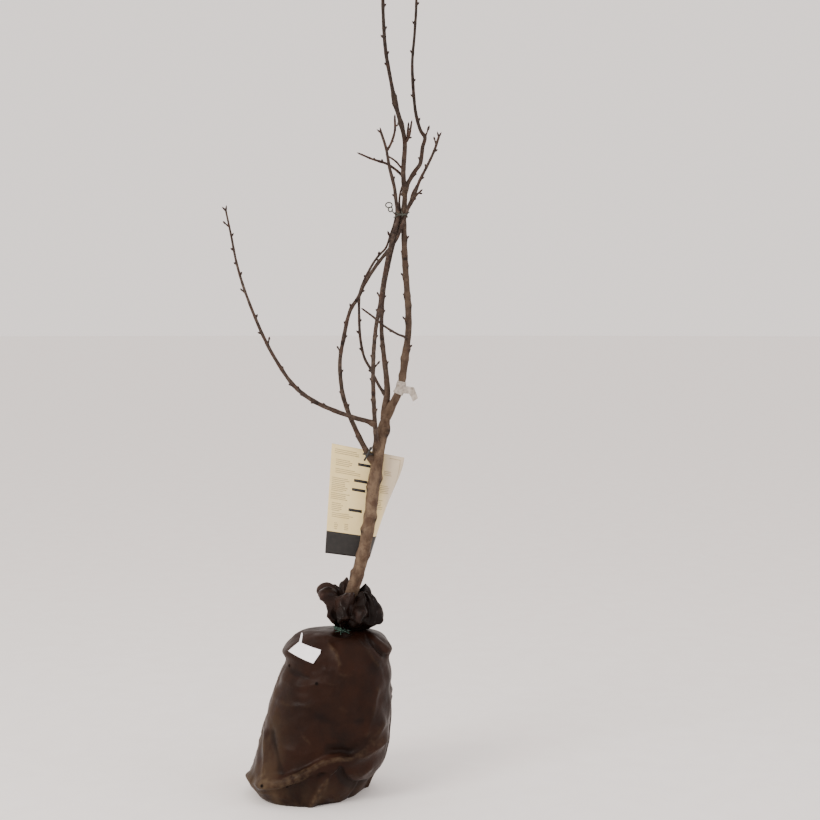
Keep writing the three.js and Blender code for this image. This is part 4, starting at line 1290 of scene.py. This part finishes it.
def smooth_collar(rows, columns):
    """The cup with its folds, before it is creased and buckled."""
    angle = np.arange(columns) * 360 / columns
    sides = sorted(COLLAR_SIDES)
    profiles = np.array([COLLAR_SIDES[side] for side in sides])
    stops = np.array([
        [np.interp(angle, sides, profiles[:, k, part], period=360) for part in (0, 1)]
        for k in range(profiles.shape[1])
    ])
    places = np.linspace(0, len(stops) - 1, rows)
    out, z = np.moveaxis(smooth_rows(stops.reshape(len(stops), -1), places).reshape(rows, 2, -1), 1, 0)
    share = np.interp(places, [0, 0.6, 2, 5, 6.5, 7], [0, 0.35, 1, 1, 0.3, 0])[:, None]
    lean = 16 * np.sin(np.radians(2 * angle + 30)) + 12 * np.sin(np.radians(angle - 60))
    fold = np.interp(angle + lean * (places / 5)[:, None], *np.array(COLLAR_FOLDS).T, period=360)
    out = out + share * fold
    z = z + np.interp(places, [0, 3, 5, 6, 7], [0, 0, 1, 1, 0.6])[:, None] * fold * RIM_RISE
    turn = np.radians(angle)
    centre = NECK_X + CUP_LEAN * np.maximum(0, z - NECK_Z)
    return np.stack([centre + np.cos(turn) * out, np.sin(turn) * out, z], axis=2)


def creased_collar(points):
    """The cup pushed out and in along short creases, less and less towards its inside."""
    angle = np.degrees(np.arctan2(points[..., 1], points[..., 0] - NECK_X)).ravel() % 360
    arc, z = angle * (COLLAR_ROUND / 360), points[..., 2].ravel()
    amounts = np.zeros_like(z)
    creases = scattered_creases(COLLAR_SEED, 26, (0, COLLAR_ROUND), heights=(296, 362), scale=0.5)
    for crease in creases:
        for lap in (-COLLAR_ROUND, 0, COLLAR_ROUND):
            amounts += crease_out(arc + lap, z, crease)
    inside = np.interp(np.linspace(0, 7, len(points)), [0, 1, 5, 6], [0, 1, 1, 0.2])[:, None, None]
    return points + sheet_normals(points) * amounts.reshape(points.shape[:2] + (1,)) * inside


def collar_mesh():
    """The buckled cup, left smooth where the twine holds it."""
    smooth = smooth_collar(*COLLAR_FINE)
    rough = creased_collar(smooth_collar(*COLLAR_COARSE))
    spots = rough.reshape(-1, 3)
    shake = np.array([noise.noise(Vector(p) / 16) for p in spots]).reshape(rough.shape[:2] + (1,))
    shaken = rough + sheet_normals(rough) * 5 * shake
    large = buckle(shaken, growth=1.09, rounds=150, bend=2, hold=0.012, inward=4)
    fine = creased_collar(smooth) + finer(large - rough, *COLLAR_FINE)
    sheet = relaxed(buckle(fine, growth=1.01, rounds=40, bend=2, hold=0.02, inward=0.8), 1)
    tied = np.linspace(0, 1, len(sheet))[:, None, None] < TIED_SHARE
    sheet = np.where(tied, smooth, sheet)
    sheet[..., 2] = np.maximum(sheet[..., 2], CUP_FLOOR)
    bm = film_mesh(sheet, smooth)
    thicken(bm, FILM_THICKNESS)
    return bm


# Painted shade: the same film as the sack, in darker colours. Its pale 382721 on the upper left of the cup,
# which faces the main lamp, is dust and painted light.
collar_film = film_finish(
    "collar_film", "070302", "110704", "382721", 0.38, lit_dust_x=(0.075, 0.045), lit_dust_z=(0.318, 0.34),
)
piece_from(collar_mesh(), "bag_collar_film", collar_film, "collar_film", "bag_collar")

# %% [markdown]
# ## Punched holes in the sack
#
# Four round drain holes show as dark dots. Each is a short ring of film round a dark disc of
# painted shade for the inside of the hole, laid on the sack where a straight line from the front
# meets it.

# %% Places on the front of the sack
def on_sack(x, z, lift=0.0):
    """The point where a line from the front meets the sack at x and z in mm, and the way out."""
    point, normal, _, _ = sack_surface.ray_cast(Vector((x * MM, -0.3, z * MM)), Vector((0, 1, 0)))
    if normal.y > 0:
        normal = -normal
    return point + normal * lift * MM, normal


HOLES = [(1, 213), (-49, 234), (-93, 37), (-49, 38)]
HOLE_RADIUS = 2.6


def hole_meshes():
    """The rims of all holes in one mesh and their dark discs of painted shade in another."""
    rims, darks = bmesh.new(), bmesh.new()
    for x, z in HOLES:
        point, normal = on_sack(x, z, 0.25)
        turn = normal.to_track_quat("Z", "Y")
        size = Vector((HOLE_RADIUS, HOLE_RADIUS, 0.5)) * MM
        disc = Matrix.LocRotScale(point, turn, size)
        bmesh.ops.create_uvsphere(darks, u_segments=20, v_segments=8, radius=1, matrix=disc)
        ring = [
            (point + turn @ Vector((math.cos(a), math.sin(a), 0)) * HOLE_RADIUS * MM,
             turn @ Vector((-math.sin(a), math.cos(a), 0)), 0.45 * MM)
            for a in np.linspace(0, 2 * math.pi, 25)
        ]
        sweep(rims, ring, 6)
    return rims, darks


# Painted shade: a near-black finish for the inside of each hole.
hole_shade = mottled_finish(
    "hole_shade", roughness=0.95, specular=0.1, tone=(1.5, 4), grain=(1.5, 4), depth_mm=0.2,
    stops=[(0.3, "050302"), (0.7, "140d0a")],
)
hole_rims, hole_darks = hole_meshes()
piece_from(hole_rims, "sack_hole_rims", sack_film, "bag_film")
piece_from(hole_darks, "sack_holes", hole_shade, "bag_film")

# %% [markdown]
# ## Green twine at the neck
#
# Three turns of twine hold the gathered film, with a knot at the front and a few stray ends.
# The lay of the strands is real shape: the ring that is swept along the path has three lobes,
# and it is turned a little from station to station.

# %% Twisted twine
TWINE_RADIUS = 1.3
STRAY_RADIUS = 0.75
TWINE_LOBES = 3
# Length of one full twist in mm
TWINE_LAY = 9
# Turns round the neck, and how far from its middle they lie
NECK_TURNS = 3
NECK_REACH = 17.6
KNOT = (NECK_X - 3, -20.5, NECK_Z)
# Stray ends of the twine: way out, length, how far each sags, and how far it curls
STRAY_ENDS = [
    ((-0.9, -0.5, 0.2), 14, 5, 2), ((0.8, -0.5, 0.1), 13, 6, -3), ((0.3, -0.7, 0.5), 10, 4, 3),
    ((-0.4, -0.6, -0.3), 12, 3, -2),
]


def twist(bm, path, radius):
    """Sweeps a three-lobed ring along a path in mm, turning as it goes."""
    points = [Vector(p) * MM for p in path]
    stations = []
    for k, point in enumerate(points):
        ahead = points[min(k + 1, len(points) - 1)]
        behind = points[max(k - 1, 0)]
        stations.append((point, (ahead - behind).normalized(), radius * MM))
    along = 0.0
    rings = sweep(bm, stations, 12)
    for k, (ring, (point, way, _)) in enumerate(zip(rings, stations)):
        along += (points[k] - points[k - 1]).length if k else 0
        across = way.orthogonal().normalized()
        other = way.cross(across)
        for v in ring:
            off = v.co - point
            turn = math.atan2(off.dot(other), off.dot(across)) * TWINE_LOBES
            v.co = point + off * (1 + 0.17 * math.cos(turn + along / MM / TWINE_LAY * 2 * math.pi))


def neck_turns():
    """The turns round the neck, which climb and widen a little."""
    path = []
    steps = 230
    for k in range(steps + 1):
        angle = -math.pi / 2 + k / steps * NECK_TURNS * 2 * math.pi
        reach = NECK_REACH + 0.7 * math.sin(angle * 1.7) + 1.2 * k / steps
        z = NECK_Z - 2.6 + 5 * k / steps + 0.8 * math.sin(angle * 2)
        path.append((NECK_X + math.cos(angle) * reach, math.sin(angle) * reach, z))
    return path


def stray_end(start, way, length, sag, curl):
    """A stray end of twine: out along its way, then down, with a curl to one side."""
    path = []
    steps = 21
    for k in range(steps + 1):
        t = k / steps
        side = curl * math.sin(t * 4)
        path.append((
            start[0] + way[0] * length * t - way[1] * side,
            start[1] + way[1] * length * t + way[0] * side,
            start[2] + way[2] * length * t - sag * t * t,
        ))
    return path


# %% Make the twine
def twine_mesh():
    """The turns round the neck, the loop of the knot, and the stray ends."""
    bm = bmesh.new()
    twist(bm, neck_turns(), TWINE_RADIUS)
    loop = [
        (KNOT[0] + 3.4 * math.sin(2 * a), KNOT[1] + 1.6 * math.cos(3 * a), KNOT[2] + 2.6 * math.sin(a))
        for a in np.linspace(0, 2 * math.pi, 60)
    ]
    twist(bm, loop, TWINE_RADIUS)
    for stray in STRAY_ENDS:
        twist(bm, stray_end(KNOT, *stray), STRAY_RADIUS)
    return bm


green_twine = mottled_finish(
    "green_twine", roughness=0.75, specular=0.3, tone=(2.2, 4), grain=(0.7, 2), depth_mm=0.3,
    stops=[(0.32, "0a1713"), (0.55, "28463b"), (0.75, "87998f")],
)
piece_from(twine_mesh(), "neck_twine_turns", green_twine, "twine", "neck_twine")

# %% [markdown]
# ## Wire tie round the crown, and the strap of the card
#
# The wire is pulled tight round five limbs. Seen from any side, a tight wire touches the limb
# that stands out furthest, so its path is found side by side: for each side, the limb whose edge
# reaches furthest that way gives the point. The strap goes round the foot of the left bough only.

# %% Tight round a bundle of limbs
TIE_STEPS = 72
TIE_TURNS = 1.03


def tight_round(names, height, tilt, margin, start):
    """A path in mm round limbs, level but for a tilt, margin outside them."""
    path = []
    for k in range(TIE_STEPS + 1):
        angle = start + k / TIE_STEPS * TIE_TURNS * 2 * math.pi
        z = height + tilt * math.cos(angle)
        side = Vector((math.cos(angle), math.sin(angle)))
        best = None
        for name in names:
            line = LINES[name]
            share = line.share_at_height(z * MM)
            centre = line.at(share).xy / MM
            reach = radius_at(LIMBS[name]["radii"], share) / MM + margin
            if best is None or (centre + side * reach).dot(side) > best.dot(side):
                best = centre + side * reach
        path.append((best.x, best.y, z))
    return path


def wire(bm, path, radius, sides=10):
    """A round wire along a path in mm."""
    points = [Vector(p) * MM for p in path]
    stations = [(points[0], (points[1] - points[0]).normalized(), radius * MM)]
    for behind, here, ahead in zip(points, points[1:], points[2:]):
        stations.append((here, (ahead - behind).normalized(), radius * MM))
    stations.append((points[-1], (points[-1] - points[-2]).normalized(), radius * MM))
    sweep(bm, stations, sides)


# %% The crown tie
HELD_IN_CROWN = ["thin_bough", "front_bough", "middle_bough", "leader", "left_bough"]
CROWN_WIRE = 0.95
# Room between the wire and the limbs, and how much thicker its loops are
WIRE_GAP = 0.3
LOOP_THICKNESS = 1.15
# The wire's loose ends: two loops as x, height, half width, half height and lean, and two leads
CROWN_LOOPS = [(123.5, 1029, 5.6, 4.5, 1.6), (126.2, 1021.5, 3.6, 3.8, -1.4)]
LOOP_LEAD = [
    (136, 2, 1011), (134, 0, 1013.5), (132, -1.2, 1015.5), (129.8, -2.2, 1018), (128, -3, 1020.5),
]
FRONT_END = [(146, -10.5, 1008), (147.5, -12.5, 1010), (147, -13, 1014), (145, -12.2, 1018)]


def crown_loop(x, z, wide, high, lean):
    """One loose loop of the wire's end, facing the front."""
    path = []
    for a in np.linspace(0.4, 2 * math.pi + 0.2, 46):
        path.append((x + wide * math.cos(a), -3 + lean * math.sin(a), z + high * math.sin(a)))
    return path


def crown_tie_mesh():
    """Two tight turns that cross, and the loose ends."""
    bm = bmesh.new()
    for tilt, start in ((4, 0.3), (-4, 1.2)):
        path = tight_round(HELD_IN_CROWN, TIE_HEIGHT, tilt, CROWN_WIRE + WIRE_GAP, start)
        wire(bm, path, CROWN_WIRE)
    for loop in CROWN_LOOPS:
        wire(bm, crown_loop(*loop), CROWN_WIRE * LOOP_THICKNESS)
    wire(bm, LOOP_LEAD, CROWN_WIRE)
    wire(bm, FRONT_END, CROWN_WIRE * 0.9)
    return bm


coated_wire = mottled_finish(
    "coated_wire", roughness=0.5, specular=0.5, tone=(4, 4), grain=(1.2, 4), depth_mm=0.15,
    stops=[(0.3, "161a14"), (0.6, "282c20"), (0.85, "45483a")],
)
piece_from(crown_tie_mesh(), "crown_tie_wire", coated_wire, "tie_wire", "crown_tie")


# %% The strap of the card
STRAP_HEIGHT = 598
STRAP_RADIUS, TAIL_RADIUS, LOOP_RADIUS = 1.3, 1.7, 0.9
STRAP_TAIL = [(80.5, -15, 587), (83, -15.5, 591.5), (86, -15.5, 597), (89, -15, 603), (91.5, -13, 607.5)]
STRAP_HEAD = (91.6, -13, 608)
STRAP_LOOP = [STRAP_HEAD, (95, -12, 611.5), (98, -9, 613), (99, -4, 612), (98, 4, 609)]


def strap_mesh():
    """A tight turn round the foot of the left bough, its head, its tail, and the loop to the card."""
    bm = bmesh.new()
    line = LINES["left_bough"]
    share = line.share_at_height(STRAP_HEIGHT * MM)
    centre, way = line.at(share), (line.heading(share) + Vector((0.5, 0.2, 0))).normalized()
    across = way.orthogonal().normalized()
    reach = radius_at(LIMBS["left_bough"]["radii"], share) * 1.35 + 1.8 * MM
    turn = [
        (centre + (across * math.cos(a) + way.cross(across) * math.sin(a)) * reach) / MM
        for a in np.linspace(0, 2 * math.pi, 40)
    ]
    for path, radius in ((turn, STRAP_RADIUS), (STRAP_TAIL, TAIL_RADIUS), (STRAP_LOOP, LOOP_RADIUS)):
        wire(bm, path, radius, sides=12)
    head = Matrix.LocRotScale(Vector(STRAP_HEAD) * MM, None, Vector((2.6, 2.4, 2.8)) * MM)
    bmesh.ops.create_uvsphere(bm, u_segments=14, v_segments=10, radius=1, matrix=head)
    return bm


black_strap = mottled_finish(
    "black_strap", roughness=0.45, specular=0.45, tone=(5, 3), grain=(1.0, 4), depth_mm=0.1,
    stops=[(0.35, "070606"), (0.75, "181616")],
)
piece_from(strap_mesh(), "card_strap", black_strap, "label_strap", "label_tie")

# %% [markdown]
# ## The care card
#
# The card is a bent sheet: its top is nearly flat and its lower right part rolls back. One
# function lays a point of the flat card on that bend. It makes the sheet, the dark band at the
# foot, and the plain bars and rules that stand for print, each a hair above the card.

# %% The bend of the card
CARD_WIDTH = 127
CARD_THICKNESS = 0.6
# The roll: its radius, how wide the card is still flat at its foot, and how soon that narrows
CARD_CURL = 22
CARD_FLAT_FOOT = 57
CARD_NARROWING = 0.58
CARD_TOP_LEFT = Vector((23, 13.25, 615))
CARD_FOOT_LEFT = Vector((10, 17.5, 420))


def on_card(u, v, lift=0.0):
    """The place of a point of the flat card; u runs right and v runs down, both from 0 to 1."""
    flat = CARD_WIDTH + (CARD_FLAT_FOOT - CARD_WIDTH) * v ** CARD_NARROWING
    along = u * CARD_WIDTH
    rolled = max(0, along - flat)
    angle = rolled / CARD_CURL
    radius = CARD_CURL + lift
    x = min(along, flat) + math.sin(angle) * radius
    y = CARD_CURL - math.cos(angle) * radius if rolled else -lift
    start = CARD_TOP_LEFT.lerp(CARD_FOOT_LEFT, v)
    drop = -0.2 + 0.07 * v
    return (start + Vector((x, y + 4 * v, x * drop))) * MM


def card_patch(bm, left, right, top, foot, lift, cells=(4, 1)):
    """A patch of thin sheet laid on the card between two shares across and two down."""
    made = bmesh.ops.create_grid(bm, x_segments=cells[0], y_segments=cells[1], size=0.5)["verts"]
    for v in made:
        u = left + (right - left) * (v.co.x + 0.5)
        down = top + (foot - top) * (0.5 - v.co.y)
        v.co = on_card(u, down, lift)
    return made


def card_sheet():
    """The whole card."""
    bm = bmesh.new()
    card_patch(bm, 0, 1, 0, 1, 0, cells=(60, 60))
    thicken(bm, CARD_THICKNESS)
    return bm


# %% What stands for print: a dark band at the foot, heading bars and rules
CARD_BAND = 0.795
# Bars as left, right and height, as shares of the card
CARD_BARS = [(0.375, 0.55, 0.13), (0.335, 0.52, 0.283), (0.315, 0.5, 0.368), (0.285, 0.47, 0.56)]
CARD_BAR_HEIGHT, CARD_RULE_HEIGHT, CARD_RULE_PITCH = 0.026, 0.0052, 0.0165
PRINT_LIFT, PRINT_THICKNESS = 0.12, 0.08
# Blocks of rules: top, how many, left and right, as shares of the card
RULE_BLOCKS = [
    (0.04, 3, 0.05, 0.4), (0.13, 4, 0.07, 0.32), (0.215, 3, 0.07, 0.42), (0.3, 3, 0.03, 0.28),
    (0.35, 5, 0.03, 0.26), (0.44, 4, 0.03, 0.34), (0.53, 5, 0.05, 0.22), (0.62, 3, 0.06, 0.4),
    (0.71, 4, 0.1, 0.16), (0.71, 4, 0.24, 0.3), (0.16, 3, 0.74, 0.86), (0.3, 5, 0.7, 0.84),
    (0.44, 6, 0.62, 0.76),
]


def band_mesh():
    """The dark band at the foot of the card."""
    bm = bmesh.new()
    card_patch(bm, 0, 1, CARD_BAND, 1, PRINT_LIFT, cells=(60, 12))
    thicken(bm, PRINT_THICKNESS)
    return bm


def bars_mesh():
    """The heading bars."""
    bm = bmesh.new()
    for left, right, down in CARD_BARS:
        card_patch(bm, left, right, down, down + CARD_BAR_HEIGHT, PRINT_LIFT)
    thicken(bm, PRINT_THICKNESS)
    return bm


def rules_mesh():
    """Blocks of thin rules, each with a ragged right side, and a corner line at the upper right."""
    bm = bmesh.new()
    random = seeded(53)
    for top, lines, left, right in RULE_BLOCKS:
        for k in range(lines):
            down = top + k * CARD_RULE_PITCH
            end = right - (right - left) * 0.35 * next(random)
            card_patch(bm, left, end, down, down + CARD_RULE_HEIGHT, PRINT_LIFT, cells=(6, 1))
    card_patch(bm, 0.945, 0.951, 0.03, 0.5, PRINT_LIFT, cells=(1, 12))
    card_patch(bm, 0.8, 0.951, 0.03, 0.034, PRINT_LIFT, cells=(6, 1))
    thicken(bm, PRINT_THICKNESS)
    return bm


# %% Finishes of the card
def card_finish():
    """Yellowish card with painted shade: greyer where it rolls back, away from the light."""
    finish = Finish("printed_card", roughness=0.42, Specular_IOR_Level=0.45)
    shade = finish.ramp(finish.noise(40, detail=3), (0.35, paint("dcc58a")), (0.7, paint("e4d09a")))
    # Painted shade: the rolled-back part is mixed towards grey c2b4a0.
    rolled_shade = finish.fade(finish.axis("X"), 0.105, 0.125)
    colour = finish.mix(finish.times(rolled_shade, 0.85), shade, paint("c2b4a0"))
    return finish.finish(colour, finish.noise(9, detail=3), depth_mm=0.25)


def ink_finish(name, dark, light):
    """Matt ink between two tones."""
    stops = [(0.3, dark), (0.75, light)]
    return mottled_finish(name, 0.5, 0.4, tone=(6, 3), stops=stops, grain=(3, 4), depth_mm=0.05)


piece_from(card_sheet(), "care_card", card_finish(), "label_card", "care_label")
piece_from(band_mesh(), "card_foot_band", ink_finish("band_ink", "0e0c0b", "1c1816"), "label_card")
piece_from(bars_mesh(), "card_bars", ink_finish("bar_ink", "0c0b0b", "161414"), "label_card")
piece_from(rules_mesh(), "card_rules", ink_finish("rule_ink", "94845f", "a19069"), "label_card")

# %% [markdown]
# ## The paper tag on the sack
#
# The tag is cut from flat paper. Its outline is one face, sliced into a fine grid by planes. Lines
# from the front find the film behind it, and the paper is bent to the smooth form that lies
# nearest, just in front of the film. The strip at its top follows the shoulder of the sack.

# %% A cut outline bent to the film
TAG_OUTLINE = [
    (-50, 261), (-31.5, 276), (-29, 287), (-27, 287), (-27, 275), (7.5, 268), (6.5, 262), (-5, 246.5),
]
# Where the strip begins, and the height above which it no longer follows the film
TAG_BODY_TOP, STRIP_TOP = 276, 283
# Middle of the paper and half its width and height, by which its bend is reckoned
TAG_MIDDLE, TAG_REACH = (-22, 262), (25, 15)
# Room between the film and the paper, and between the film and the strip
TAG_GAP, STRIP_GAP = 0.5, 0.8
TAG_THICKNESS = 0.4


def sliced_face(bm, outline, pitch):
    """A flat face in x and z, cut into cells by planes pitch mm apart."""
    bm.faces.new([bm.verts.new((x * MM, 0, z * MM)) for x, z in outline])
    for axis in (0, 2):
        values = [p[axis // 2] for p in outline]
        for cut in np.arange(min(values) + pitch, max(values), pitch):
            point, normal = Vector((0, 0, 0)), Vector((0, 0, 0))
            point[axis] = cut * MM
            normal[axis] = 1
            geom = bm.verts[:] + bm.edges[:] + bm.faces[:]
            bmesh.ops.bisect_plane(bm, geom=geom, plane_co=point, plane_no=normal)


def tag_mesh():
    """Paper bent to one smooth form before the film, its strip bent back over the shoulder."""
    bm = bmesh.new()
    sliced_face(bm, TAG_OUTLINE, 2.5)
    x, z = np.array([(v.co.x / MM, v.co.z / MM) for v in bm.verts]).T
    film = np.array([on_sack(*place)[0].y / MM for place in zip(x, np.minimum(z, STRIP_TOP))])
    across, up = (x - TAG_MIDDLE[0]) / TAG_REACH[0], (z - TAG_MIDDLE[1]) / TAG_REACH[1]
    terms = np.stack([across ** 0, across, up, across * across, across * up], axis=1)
    body = z < TAG_BODY_TOP
    paper = terms @ np.linalg.lstsq(terms[body], film[body], rcond=None)[0]
    paper -= np.max((paper - film)[body]) + TAG_GAP
    strip = np.minimum(film - STRIP_GAP, paper + (z - TAG_BODY_TOP) * 4)
    for v, y in zip(bm.verts, np.where(body, paper, strip)):
        v.co.y = y * MM
    thicken(bm, TAG_THICKNESS)
    return bm


white_paper = mottled_finish(
    "white_paper", roughness=0.6, specular=0.3, tone=(12, 4), grain=(1.2, 3), depth_mm=0.08,
    stops=[(0.3, "f2edf4"), (0.7, "fbf8fc")],
)
piece_from(tag_mesh(), "sack_tag", white_paper, "tag_paper", "bag_tag")

# %% [markdown]
# ## The clear sleeve on the leader
#
# A strip of milky film is wrapped round the leader and folded into a tail. The wrap is swept
# along the leader's own line, a little wider than the bark, and the tail is a cut face with a
# soft fold. Both let some light through.

# %% Wrap and tail
SLEEVE_HEIGHTS = (703, 724)
TAIL_OUTLINE = [
    (143, 721), (153, 716), (167, 714), (174, 695), (165, 689), (162, 697), (158, 703), (141, 704),
]
TAIL_THICKNESS = 0.35


def sleeve_mesh():
    """The crumpled wrap round the leader, and its tail as a mesh of its own."""
    bm = bmesh.new()
    line, radii = LINES["leader"], LIMBS["leader"]["radii"]
    low, high = [line.share_at_height(z * MM) for z in SLEEVE_HEIGHTS]
    stations = []
    steps = 24
    for k in range(steps + 1):
        t = k / steps
        share = low + (high - low) * t
        loose = 1.5 + 0.5 * math.sin(t * 11) + 0.9 * (2 * t - 1) ** 4
        stations.append((line.at(share), line.heading(share), radius_at(radii, share) + loose * MM))
    sweep(bm, stations, 28)
    for v in bm.verts:
        v.co += Vector((noise.noise(v.co / (4 * MM)), noise.noise(v.co / (5 * MM)), 0)) * 0.5 * MM
    tail = bmesh.new()
    sliced_face(tail, TAIL_OUTLINE, 1.5)
    for v in tail.verts:
        x, z = v.co.x / MM, v.co.z / MM
        v.co.y = (-5.2 - 1.6 * math.sin((x - 143) / 5 + (z - 700) / 9)) * MM
    thicken(tail, TAIL_THICKNESS)
    return bm, tail


milky_film = mottled_finish(
    "milky_film", roughness=0.3, specular=0.5, tone=(6, 4), grain=(3, 3), depth_mm=0.5,
    stops=[(0.3, "857a6e"), (0.7, "c4bbb0")], Transmission_Weight=0.25,
)
wrap, tail = sleeve_mesh()
piece_from(wrap, "stem_sleeve", milky_film, "label_sleeve", "stem_label")
piece_from(tail, "stem_sleeve_tail", milky_film, "label_sleeve")

# %% [markdown]
# ## The end
#
# Last the view layer is brought up to date.

# %% Bring the scene up to date
bpy.context.view_layer.update()
